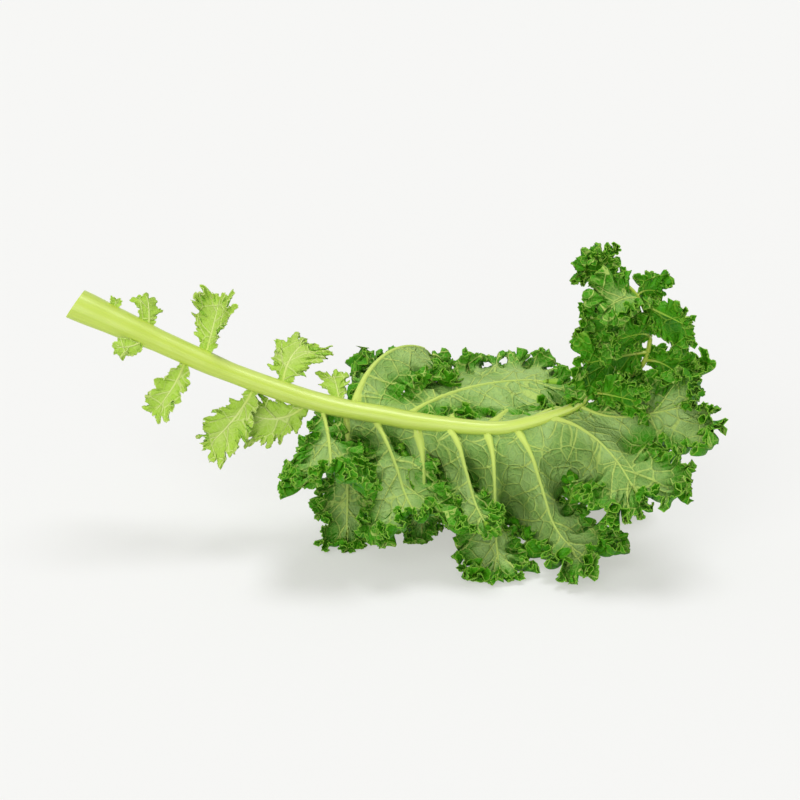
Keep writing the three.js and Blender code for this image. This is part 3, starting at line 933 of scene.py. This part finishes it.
def mesh_object(name: str, points: Array, faces: Array, marks: dict[str, Array],
                materials: list[bpy.types.Material], which: Array) -> bpy.types.Object:
    """A smooth mesh of triangles.

    Args:
        name: the piece's name.
        points: its points, in metres.
        faces: three point numbers for each face.
        marks: a number for each point, by the name that the finishes read.
        materials: the finishes.
        which: each face's finish, by number.

    Returns:
        The object, in the scene.
    """
    mesh = bpy.data.meshes.new(name)
    mesh.vertices.add(len(points))
    mesh.vertices.foreach_set("co", points.astype(np.float32).ravel())
    mesh.loops.add(3 * len(faces))
    mesh.loops.foreach_set("vertex_index", faces.astype(np.int32).ravel())
    mesh.polygons.add(len(faces))
    mesh.polygons.foreach_set("loop_start", np.arange(0, 3 * len(faces), 3, dtype=np.int32))
    mesh.polygons.foreach_set("material_index", which.astype(np.int32))
    mesh.update(calc_edges=True)
    mesh.shade_smooth()
    for key, values in marks.items():
        data = mesh.attributes.new(key, "FLOAT", "POINT").data
        data.foreach_set("value", values.astype(np.float32).ravel())
    for material in materials:
        mesh.materials.append(material)
    made = bpy.data.objects.new(name, mesh)
    bpy.context.scene.collection.objects.link(made)
    return made


def loft(sections: int, sides: int) -> Array:
    """Triangles between closed sections.

    Args:
        sections: how many there are.
        sides: points round each.

    Returns:
        Three point numbers for each triangle, facing out.
    """
    i, j = np.meshgrid(np.arange(sections - 1), np.arange(sides), indexing="ij")
    a, b = i * sides + j, i * sides + (j + 1) % sides
    halves = np.stack([a, b, a + sides], -1), np.stack([b, b + sides, a + sides], -1)
    return np.concatenate(halves).reshape(-1, 3)


def tube(path: Array, radius: Array, flat: float, sides: int) -> tuple[Array, Array]:
    """An oval tube along a path.

    Args:
        path: its centre points.
        radius: its half width at each.
        flat: its depth over its width.
        sides: points round a section.

    Returns:
        Its points and triangles; the ends are left to whatever it grows out of.
    """
    ahead = unit(np.gradient(path, axis=0))
    up = np.zeros_like(path)
    up[0] = np.cross(ahead[0], unit(np.cross(ahead[0], np.array([0.0, 0.0, 1.0]))))
    for i in range(1, len(path)):
        up[i] = up[i - 1] - ahead[i] * (up[i - 1] @ ahead[i])
    up = unit(up)
    side = np.cross(up, ahead)
    turn = np.linspace(0, 2 * math.pi, sides, endpoint=False)[None, :, None]
    ring = np.cos(turn) * side[:, None] + np.sin(turn) * flat * up[:, None]
    return (path[:, None] + ring * radius[:, None, None]).reshape(-1, 3), loft(len(path), sides)


class SheetSkinner:
    """Turns a lobe's surface into a thin closed shell."""

    THICK, THIN = 0.62, 0.34    # millimetres, in the blade and at its margin
    THIN_ZONE = 3.0             # millimetres of margin that thin out
    DEEPEST = 0.2               # how deep a groove may be
    LOWEST, SQUASH = 0.45, 5.0  # the blade's middle never comes below the first, and yields from the second

    def __init__(self, weave: Weave) -> None:
        """Takes the fineness of the sheets that it will skin."""
        self.weave = weave
        self.inner = len(LobeGrower.VEIN_ROWS) + weave.inner

    def settle(self, points: Array, lift: float) -> Array:
        """Presses on the table whatever hangs below it.

        Args:
            points: the surface.
            lift: how high the leaf's own origin stands over the table.

        Returns:
            The surface, clear of the table.
        """
        z = points[..., 2] + lift
        room = self.SQUASH - self.LOWEST
        low = self.LOWEST + room * np.exp(np.minimum((z - self.SQUASH) / room, 0))
        return np.concatenate([points[..., :2], np.where(z < self.SQUASH, low, z)[..., None] - lift], -1)

    def steps(self, sheet: Sheet, coarse: Array) -> Array:
        """Chooses how close the margin's columns stand.

        Args:
            sheet: the lobe's surface.
            coarse: the columns that run all the way in to the vein.

        Returns:
            The columns from one to the next in each span: few where the margin is long, and the
            whole span where it is joined.
        """
        spans = np.diff(running(sheet.points[:, -1])[coarse])
        edge = self.weave.edge
        steps = np.where(spans > SPAN / 2 * edge, 1, np.where(spans > SPAN / 4 * edge, 2, SPAN // 2))
        return np.where(sheet.free[coarse[1:]] + sheet.free[coarse[:-1]] > 0, steps, SPAN)

    def topology(self, sheet: Sheet) -> tuple[Array, Array]:
        """Joins up the sheet's points, with as many columns as its margin needs.

        Args:
            sheet: the lobe's surface.

        Returns:
            The used points as (column, row) pairs, and the triangles.
        """
        along_vein, last = self.weave.along, self.weave.last
        rows = self.inner + self.weave.outer + 1
        coarse = np.arange(0, last + 1, SPAN)
        steps = self.steps(sheet, coarse)
        fine = [np.arange(a, a + SPAN, step) for a, step in zip(coarse, steps)]
        fine = np.append(np.concatenate(fine), last)
        columns = [coarse[coarse <= along_vein]] + [coarse] * (self.inner - 1) + [fine] * (rows - self.inner)
        number = np.full((last + 1, rows), -1)
        used = []
        for row, kept in enumerate(columns):
            number[kept, row] = len(used) + np.arange(len(kept))
            used += [(column, row) for column in kept]
        # The points on the vein are shared by both sides, and its last one by the fan at its end.
        others = coarse[coarse > along_vein]
        number[others, 0] = number[np.minimum(along_vein, last - others), 0]
        faces = []
        for row in range(rows - 1):
            if row + 1 != self.inner:
                kept = coarse if row < self.inner else fine
                a, b = number[kept, row], number[kept, row + 1]
                faces += [np.stack([a[:-1], a[1:], b[1:]], 1), np.stack([a[:-1], b[1:], b[:-1]], 1)]
                continue
            for column, step in zip(coarse, steps):
                a0, a1 = number[column, row], number[column + SPAN, row]
                b = number[column:column + SPAN + 1:step, row + 1]
                middle = max((len(b) - 1) // 2, 1)
                fan = [(a0, b[j + 1], b[j]) for j in range(middle)] + [(a0, a1, b[middle])]
                faces.append(np.array(fan + [(a1, b[j + 1], b[j]) for j in range(middle, len(b) - 1)]))
        faces = np.vstack(faces)
        distinct = (faces[:, 0] != faces[:, 1]) & (faces[:, 1] != faces[:, 2]) & (faces[:, 2] != faces[:, 0])
        return np.array(used), faces[distinct]

    def skin(self, name: str, sheet: Sheet, shift: Array, under: bpy.types.Material,
             upper: bpy.types.Material) -> bpy.types.Object:
        """The lobe as an object.

        Args:
            name: the piece's name.
            sheet: the lobe's surface.
            shift: from the leaf's own origin to the part's.
            under: the finish of the underside.
            upper: the finish of the upper side.

        Returns:
            The object.
        """
        points = self.settle(sheet.points, float(shift[2]))
        normal = normals_of(points)[0]
        left = np.arange(self.weave.along + 1)
        right = self.weave.last - left
        normal[left, 0] = normal[right, 0] = unit(normal[left, 1] + normal[right, 1])
        used, faces = self.topology(sheet)
        at = used[:, 0], used[:, 1]
        thick = mix(self.THIN, self.THICK, smooth(sheet.depth[at] / self.THIN_ZONE))[:, None] / 2
        above = points[at] + normal[at] * (thick + sheet.ridge[at][:, None])
        below = points[at] - normal[at] * (thick - sheet.groove[at][:, None].clip(0, self.DEEPEST))
        total = len(used)
        edges = np.vstack([faces[:, [0, 1]], faces[:, [1, 2]], faces[:, [2, 0]]])
        there, back = edges[:, 0] * total + edges[:, 1], edges[:, 1] * total + edges[:, 0]
        i, j = edges[~np.isin(there, back)].T
        wall = np.vstack([np.stack([j, i, i + total], 1), np.stack([j, i + total, j + total], 1)])
        everything = np.vstack([faces, faces[:, ::-1] + total, wall])
        which = np.repeat((0, 1, 0), (len(faces), len(faces), len(wall)))
        marks = {mark: np.tile(values[at], 2) for mark, values in sheet.marks.items()}
        shell = (np.vstack([above, below]) + shift) * MM
        return mesh_object(name, shell, everything, marks, [under, upper], which)


# ------------------------------------------------------------------ sub-assemblies


@dataclass
class Patch:
    """Part of the stalk's mesh, with what its finishes read at each point."""

    points: Array
    faces: Array
    along: Array                # distance along the fibres
    around: Array               # and across them
    inset: Array                # distance in from the skin
    finish: int                 # 0 for the skin, 1 for a cut face


@dataclass
class Stalk:
    """The leaf stalk and midrib, with the roots of the veins that leave it."""

    sections: int = 420
    sides: int = 72
    ribs: int = 13
    rib_height: float = 0.035 / 7       # in shares of the girth, as are the next two
    channel: float = 0.16               # depth of the groove along the belly
    channel_half: float = 0.5           # and about half its width, in radians
    lump: float = 0.025                 # height of slow, uneven swellings
    root_sides: int = 16
    root_flat: float = 0.85             # the depth of a vein's root over its width
    root_flare: float = 0.4             # how much a vein widens where it leaves
    root_zone: float = 3.2              # and over how many millimetres

    CAD_SECTIONS = 44
    CAD_SIDES = 14
    FIBRE_TURN = 6.5            # millimetres of skin to a radian, as on a stalk of middling girth
    CUT_SLANT = 3.0             # millimetres of stalk over which the cut's slant dies away
    SMOOTHINGS = 4              # how often a vein root's path is smoothed

    def section(self, s: Array, turn: Array, grow: Array) -> Array:
        """The oval sections.

        Args:
            s: their distances from the cut end.
            turn: angles round each, in radians.
            grow: how far each point stands out.

        Returns:
            Their points.
        """
        _, side, up = MIDRIB.frame(s)
        half = Midrib.girth(s)[:, None] + grow
        tall = half * DEPTH_SHARE * np.where(np.sin(turn) > 0, 1, BELLY_SHARE) * np.sin(turn)
        wide = half * np.cos(turn)
        return MIDRIB.at(s)[:, None] + side[:, None] * wide[..., None] + up[:, None] * tall[..., None]

    def lean(self, ring: Array) -> Array:
        """How far the first section's points move because the cut is off square."""
        tangent, _, up = MIDRIB.frame(0.0)
        return (math.tan(rad(CUT_TILT)) * (ring - MIDRIB.at(0.0)) @ up)[:, None] * tangent

    def shift(self) -> Array:
        """From the leaf's own origin to the part's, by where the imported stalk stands.

        Returns:
            The shift, in millimetres.
        """
        s = np.linspace(0, MIDRIB.length, self.CAD_SECTIONS + 1)
        turn = np.linspace(0, 2 * math.pi, self.CAD_SIDES, endpoint=False)[None]
        points = self.section(s, turn, np.zeros((1, 1)))
        points[0] += self.lean(points[0])
        low, high = (np.array(corner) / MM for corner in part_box("stalk"))
        own_low, own_high = points.reshape(-1, 3).min(0), points.reshape(-1, 3).max(0)
        off = np.abs((high - low) - (own_high - own_low)).max()
        LOG.info("stalk matches the packed one within %.3f mm", off)
        return (low + high - own_low - own_high) / 2

    def relief(self, s: Array, turn: Array) -> Array:
        """The stalk's own unevenness: ribs, a groove along its belly, and swellings.

        Args:
            s: distances from the cut end.
            turn: angles round, in radians.

        Returns:
            How far each point stands out.
        """
        girth, at = Midrib.girth(s)[:, None], s[:, None]
        # The ribs wind a little and come and go along the stalk.
        ribs = np.sin(self.ribs * turn + 0.8 * np.sin(2 * turn) + 0.5 * np.sin(at / 37))
        ribs *= 0.6 + 0.4 * np.sin(at / 23 + 3 * np.cos(turn))
        from_belly = np.mod(turn + 1.5 * math.pi, 2 * math.pi) - math.pi
        groove = -np.exp(-(from_belly / self.channel_half) ** 2)
        lumps = wander(s, 60, 3)[:, None] + 0.5 * np.sin(turn + at / 41)
        return girth * (self.rib_height * ribs + self.channel * groove + self.lump * lumps)

    def build(self, growers: list[LobeGrower], shift: Array, skin: bpy.types.Material,
              cut: bpy.types.Material) -> bpy.types.Object:
        """Makes the stalk.

        Args:
            growers: the lobes whose veins leave it.
            shift: from the leaf's own origin to the part's.
            skin: the stalk's finish.
            cut: the cut end's finish.

        Returns:
            The object.
        """
        s = np.linspace(0, MIDRIB.length, self.sections + 1)
        turn = np.linspace(0, 2 * math.pi, self.sides, endpoint=False)[None]
        points = self.section(s, turn, self.relief(s, turn))
        points += np.exp(-s / self.CUT_SLANT)[:, None, None] * self.lean(points[0])
        count = points.shape[:2]
        around = np.broadcast_to(turn * self.FIBRE_TURN, count).ravel()
        length = np.repeat(s, self.sides)
        patches = [Patch(points.reshape(-1, 3), loft(*count), length, around, np.zeros(length.size), 0)]
        patches += [self.vein_root(grower) for grower in growers]
        patches += [self.cut_face(points[0], True), self.cut_face(points[-1], False)]
        starts = np.cumsum([0] + [len(patch.points) for patch in patches])
        faces = np.vstack([patch.faces + start for patch, start in zip(patches, starts)])
        marks = {mark: np.concatenate([getattr(patch, mark) for patch in patches]) for mark in STALK_MARKS}
        which = np.repeat([patch.finish for patch in patches], [len(patch.faces) for patch in patches])
        whole = (np.vstack([patch.points for patch in patches]) + shift) * MM
        made = mesh_object("stalk_skin", whole, faces, marks, [skin, cut], which)
        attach(made, BODY)
        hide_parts("stalk")
        return made

    def vein_root(self, grower: LobeGrower) -> Patch:
        """The root of a lobe's vein: it leaves the midrib's heart, bends outwards and narrows.

        Args:
            grower: the lobe.

        Returns:
            A tube that starts inside the midrib and sinks into the lobe's own vein.
        """
        lobe = grower.lobe
        girth = float(Midrib.girth(lobe.at))
        back, heart = MIDRIB.at(lobe.at - 1.5 * girth), MIDRIB.at(lobe.at - 0.1 * girth)
        vein_length = lobe.length * VEIN_SHARE
        reach = girth + 7.0 * min(1.0, lobe.length / 60)
        t = np.linspace(0, min(0.5, reach / vein_length), 12)
        half = grower.vein_half(t)
        line, (_, _, normal) = grower.walk(t)
        line = line + normal * (np.linspace(-0.2, -0.6, len(t)) * half)[:, None]    # sinking in
        turning = np.linspace(0, 1, 8)[:-1]
        start = [mix(mix(back, heart, u), mix(heart, line[0], u), u) for u in turning]
        path = np.vstack([np.array(start), line])
        for _ in range(self.SMOOTHINGS):
            path[1:-1] = (path[:-2] + 2 * path[1:-1] + path[2:]) / 4
        outside = np.maximum(t * vein_length - 0.55 * girth, 0)
        flared = half * (0.97 + self.root_flare * np.exp(-outside / self.root_zone))
        radius = np.concatenate([np.full(len(turning), 2 * half[0]), flared])
        radius = np.minimum(radius, 0.6 * girth + 0.3)      # narrower than the midrib that it leaves
        points, faces = tube(path, radius, self.root_flat, self.root_sides)
        length = np.repeat(running(path) + lobe.at, self.root_sides)
        around = np.tile(np.linspace(0, 20, self.root_sides), len(path))
        return Patch(points, faces, length, around, np.zeros(length.size), 0)

    def cut_face(self, ring: Array, first: bool) -> Patch:
        """A cut face, slightly sunk.

        Args:
            ring: the end section's points.
            first: whether it is the stalk's cut end, and not the midrib's far end.

        Returns:
            The face.
        """
        shares = (1.0, 0.94, 0.85, 0.65, 0.4, 0.15)
        centre, n, rings = ring.mean(0), len(ring), len(shares)
        inwards = MIDRIB.frame(0.0 if first else MIDRIB.length)[0] * (1 if first else -1)
        radius = float(np.linalg.norm(ring - centre, axis=1).mean())
        sunk = [0.09 * radius * (1 - k ** 2) for k in shares]
        points = np.vstack([centre + (ring - centre) * k + inwards * deep for k, deep in zip(shares, sunk)]
                           + [centre + inwards * 0.05 * radius])
        j, inmost = np.arange(n), (rings - 1) * n
        middle = np.stack([inmost + j, inmost + (j + 1) % n, np.full(n, rings * n)], 1)
        faces = np.vstack([loft(rings, n), middle])
        inset = np.append(np.repeat((1 - np.array(shares)) * radius, n), radius)
        return Patch(points, faces[:, ::-1] if first else faces, points[:, 0], points[:, 1], inset, 1)


@dataclass
class LobeGroup:
    """Lobes that are built and dressed alike."""

    lobes: tuple[Lobe, ...]
    weave: Weave
    age: Age
    under: Lamina
    upper: Lamina
    habit: Habit
    node: str | None = None     # the solid that they stand for together, where it isn't one each

    def growers(self) -> list[LobeGrower]:
        """Sets out the lobes and webs them.

        Returns:
            The grower of each lobe.
        """
        growers = [LobeGrower(lobe, self.weave, self.habit) for lobe in self.lobes]
        near = self.lobes[0].heading[0] < 0
        for before, grower in zip(growers, growers[1:]):
            if grower.lobe.web:
                last = SPAN * round(grower.lobe.web * self.weave.along / SPAN)
                first, second = (before, grower) if near else (grower, before)
                first.webs[LEFT] = second.webs[RIGHT] = Web(first, second, last, grower.lobe.pleat)
        return growers

    def build(self, growers: list[LobeGrower], shift: Array) -> list[bpy.types.Object]:
        """Makes the lobes' sheets.

        Args:
            growers: the grower of each lobe.
            shift: from the leaf's own origin to the part's.

        Returns:
            The objects.
        """
        under, upper = self.under.build(), self.upper.build()
        skinner = SheetSkinner(self.weave)
        made = []
        for grower in growers:
            name = grower.lobe.name
            piece = skinner.skin(name + "_blade", grower.grow(), shift, under, upper)
            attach(piece, BODY)
            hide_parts(self.node or name)
            made.append(piece)
        return made


LEAFLETS = LobeGroup((
    Lobe("leaflet_upper_1", 20, 8, (2.6, 2.6), (40, 70), (60, 70), (20, 20), (5, 5), 10),
    Lobe("leaflet_upper_2", 42, 20, (6.5, 6.5), (80, 110), (70, 50), (10, 20), (10, -10), -30),
    Lobe("leaflet_upper_3", 74, 33, (12, 12), (58, 66), (60, 60), (0, 0), (8, 8), 15),
    Lobe("leaflet_upper_4", 118, 30, (15, 15), (75, 45), (66, 24), (-10, 0), (5, -5), -25),
    Lobe("leaflet_upper_5", 150, 18, (8, 7), (100, 110), (40, 40), (10, 10), (5, 5), -20),
    Lobe("leaflet_lower_1", 40, 19, (5, 5), (-100, -165), (-10, 5), (-40, -50), (5, 5), -20),
    Lobe("leaflet_lower_2", 64, 34, (9, 9), (-106, -170), (-47, -52), (-20, -35), (5, 5), 10),
    Lobe("leaflet_lower_3", 104, 42, (13, 13), (-140, -170), (-54, -42), (-20, -30), (0, 5), -10),
    Lobe("leaflet_lower_4", 134, 38, (13, 13), (-160, -200), (-40, 14), (-60, -70), (5, 0), -15),
), Weave(224, 80, 4, 6, 1.3), Age.YOUNG, YOUNG_UNDERSIDE, YOUNG_UPPER_SIDE, TENDER)

NEAR_HALF = LobeGroup((
    Lobe("near_half_blade_lobe_1", 139, 62, (20, 22), (-66, -84, -92), (-40, -46, -8, 24), (0, 0),
         (-24, -24), 10, 0.0, 10),
    Lobe("near_half_blade_lobe_0", 153, 77, (13, 14), (-80, -95), (-74, -96, -60), (0, 0), (-20, -20),
         20, 0.1, 60),
    Lobe("near_half_blade_lobe_2", 167, 70, (20, 22), (-54, -50, -76), (-36, -54, -60, 5), (18, 10),
         (-14, -14), 10, 0.2, 20, 0.8),
    Lobe("near_half_blade_lobe_3", 191, 66, (9, 12), (-70, -80), (-52, -108), (0, 0), (-4, -4), 10,
         0.2, None, 0.8),
    Lobe("near_half_blade_lobe_4", 207, 71, (10, 15), (-66, -52, -80), (-6, -66, -60, 5), (0, 20, 10),
         (-30, -8), 20, 0.45, 30, 1.0),
    Lobe("near_half_blade_lobe_5", 228, 86, (17, 19), (-76, -86), (-19, -74, -84, -25), (0, 0),
         (-24, -20), 15, 0.5, 30, 1.3),
    Lobe("near_half_blade_lobe_6", 243, 90, (22, 18), (-60, -40, -54), (-21, -66, -68, -10),
         (0, 25, 10), (-5, -14), 15, 0.7, 30, 1.3),
    Lobe("near_half_blade_lobe_7", 262, 74, (30, 20), (-43, -48), (9, -48), (20, 40), (-6, -6), 35,
         0.55, None, 0.9),
    Lobe("near_half_blade_lobe_8", 279, 65, (16, 36), (-15, -12), (-30, 12, 20), (50, 55), (-20, 0),
         40, 0.7, None, 0.35),
), Weave(640, 304, 8, 9, 1.7), Age.GROWN, UNDERSIDE, UPPER_SIDE, CURLED, "near_half_blade")

FAR_HALF = LobeGroup((
    Lobe("far_half_blade_lobe_1", 156, 84, (26, 24), (58, 42), (58, -29), (0, 0), (-30, -34), -20),
    Lobe("far_half_blade_lobe_2", 183, 108, (34, 26), (50, 18), (10, -7), (0, 0), (4, -24), -10, 0.22, 15),
    Lobe("far_half_blade_lobe_3", 207, 111, (16, 16), (70, 94), (2, -8, -60, -98), (0, 0), (-8, -8), 5,
         0.1),
    Lobe("far_half_blade_lobe_4", 227, 111, (15, 15), (60, 80), (2, -6, -60, -98), (0, 0), (-8, -8), 5,
         0.5),
    Lobe("far_half_blade_lobe_5", 247, 110, (15, 15), (52, 66), (2, -8, -60, -98), (0, 0), (-8, -8), 5,
         0.5),
    Lobe("far_half_blade_lobe_6", 267, 105, (18, 16), (46, 50), (4, -24, -60, -88), (0, 0), (-6, -6),
         5, 0.4),
), Weave(512, 224, 7, 7, 2.5), Age.GROWN, UNDERSIDE, UPPER_SIDE, CURLED, "far_half_blade")

LEAF_END = LobeGroup((
    Lobe("end_lobe_right_1", 306, 37, (9, 17), (-36, -12), (-21, 0), (-115, -120), (5, 5), 20),
    Lobe("end_lobe_right_0", 290, 28, (10, 10), (-60, -25), (15, -5), (-60, -90), (5, 5), 20),
    Lobe("end_lobe_right_2", 322, 25, (10, 9), (-50, -20), (26, -44), (-90, -100), (5, 5), 20),
    Lobe("end_lobe_left_1", 328, 37, (11, 19), (190, 198), (-5, -6), (95, 95), (5, 5), 10),
    Lobe("end_lobe_left_2", 336, 30, (9, 15), (-105, -165), (45, -15), (50, 85), (5, 5), 25),
    Lobe("end_lobe_left_3", 345, 33, (10, 12), (-168, -190), (10, 6), (95, 95), (5, 5), 20),
    Lobe("end_lobe_left_4", 358, 32, (10, 12), (-115, -165), (55, -25), (20, -60), (5, 5), 30),
    Lobe("end_lobe_right_3", 360, 30, (14, 7), (-60, -11), (0, -26), (-95, -90), (5, 5), 20),
    Lobe("end_lobe_right_4", 366, 14, (7, 7), (54, 12), (18, -13), (-90, -90), (5, 5), 20),
    Lobe("end_lobe_left_5", 374, 25, (9, 10), (168, 180), (40, 5), (100, 60), (5, 5), 20),
    Lobe("end_lobe_last", 385, 12, (9, 8), (150, 131), (50, 75), (110, 110), (5, 5), 15),
), Weave(384, 176, 6, 7, 1.9), Age.END, UNDERSIDE, UPPER_SIDE, FRILLED)

GROUPS = (LEAFLETS, NEAR_HALF, FAR_HALF, LEAF_END)

# ------------------------------------------------------------------ the set


@dataclass(frozen=True)
class Sun:
    """A soft sun lamp."""

    name: str
    energy: float
    towards: tuple[float, float, float]     # from the leaf to the lamp
    softness: float             # its angle, in radians

    def build(self) -> None:
        """Adds the lamp."""
        data = bpy.data.lights.new(self.name, "SUN")
        data.energy = self.energy
        data.angle = self.softness
        lamp = bpy.data.objects.new(self.name, data)
        lamp.rotation_mode = "QUATERNION"
        lamp.rotation_quaternion = Vector(self.towards).to_track_quat("Z", "Y")
        bpy.context.scene.collection.objects.link(lamp)


@dataclass(frozen=True)
class Studio:
    """A plain pale table, soft light and the camera."""

    backdrop: str = "#f4f4f4"
    # The matt paint is a little blue and the glow a little yellow: where the table is lit they add up to
    # plain white, and in the leaf's shadow the yellow is left over, as painted light bounced off the leaf.
    table: str = "#e9e9ee"
    glow: str = "#f7f7ee"       # what the eye gets of the table besides its shading
    evenness: float = 0.5       # how much of the table's look that is
    half_table: float = 8.0     # metres from its middle to its edges
    sky: float = 0.34           # how strongly the pale surroundings light the leaf
    suns: tuple[Sun, ...] = (
        Sun("key", 1.7, (0.12, 0.15, 1.0), 0.5),
        Sun("fill", 1.8, (-0.3, -1.0, 0.55), 0.9),
    )
    aim: tuple[float, float, float] = (0.0, 0.0, 83.0)      # in the leaf's own frame
    distance: float = 1000.0    # millimetres
    elevation: float = 22.0     # degrees
    lens: float = 85.0          # millimetres
    film: float = 36.0          # millimetres across the camera's film

    @staticmethod
    def seen(p: Painter) -> Socket:
        """Tells the rays that show something from those that only carry light.

        Args:
            p: the painter of the nodes.

        Returns:
            1 on rays from the camera, and on those that pass through or glance off.
        """
        share = 0.0
        for ray in ("Is Camera Ray", "Is Transmission Ray", "Is Glossy Ray"):
            share = p.add("Math", (share, p.add("LightPath", out=ray)), operation="MAXIMUM")
        return share

    def build(self, shift: Array) -> None:
        """Sets up the table, the lamps, the world and the camera.

        Args:
            shift: from the leaf's own origin to the part's.
        """
        scene = bpy.context.scene
        scene.view_settings.view_transform = "Standard"
        self.lay_table()
        world = Painter(bpy.data.worlds.new("studio"))
        light = world.add("Background", {"Color": (1, 1, 1, 1), "Strength": self.sky})
        plain = world.add("Background", {"Color": colour(self.backdrop), "Strength": 1.0})
        scene.world = world.finish(world.add("MixShader", (self.seen(world), light, plain)))
        for sun in self.suns:
            sun.build()

        camera = bpy.data.objects.new("camera", bpy.data.cameras.new("camera"))
        scene.collection.objects.link(camera)
        camera.data.lens = self.lens
        camera.data.sensor_width = self.film
        tilt = rad(self.elevation)
        aim = (np.array(self.aim) + shift) * MM
        back = np.array([0, -math.cos(tilt), math.sin(tilt)])
        camera.location = Vector(aim + back * self.distance * MM)
        camera.rotation_euler = (math.pi / 2 - tilt, 0, 0)
        scene.camera = camera

    def lay_table(self) -> None:
        """Makes the table: matt paint, evened out to the backdrop where the eye meets it, with painted bounce
        light that tints its shadows yellow-green.
        """
        floor = bpy.data.objects.new("table_top", bpy.data.meshes.new("table_top"))
        ring = ((-1, -1), (1, -1), (1, 1), (-1, 1))
        rim = [(x * self.half_table, y * self.half_table, 0) for x, y in ring]
        floor.data.from_pydata(rim, [], [(0, 1, 2, 3)])
        bpy.context.scene.collection.objects.link(floor)
        p = Painter(bpy.data.materials.new("pale_matt_table"))
        matt = p.add("BsdfDiffuse", {"Color": colour(self.table)})
        plain = p.add("Emission", {"Color": colour(self.glow), "Strength": 1.0})
        share = p.add("Math", (self.seen(p), self.evenness), operation="MULTIPLY")
        floor.data.materials.append(p.finish(p.add("MixShader", (share, matt, plain))))


def main() -> None:
    """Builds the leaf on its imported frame, piece by piece, and sets the stage."""
    logging.basicConfig(level=logging.INFO, format="%(name)s: %(message)s")
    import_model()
    stalk = Stalk()
    shift = stalk.shift()
    LOG.info("the leaf's own origin stands at %s mm", np.round(shift, 2))
    growers = [group.growers() for group in GROUPS]
    made = [stalk.build([g for group in growers for g in group], shift, Stem().build(), CutPith().build())]
    for group, own in zip(GROUPS, growers):
        made += group.build(own, shift)
    for piece in made:
        LOG.info("%s: %d triangles", piece.name, len(piece.data.polygons))
    LOG.info("%d pieces, %d triangles", len(made), sum(len(piece.data.polygons) for piece in made))
    Studio().build(shift)
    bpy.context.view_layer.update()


if __name__ == "__main__":
    main()
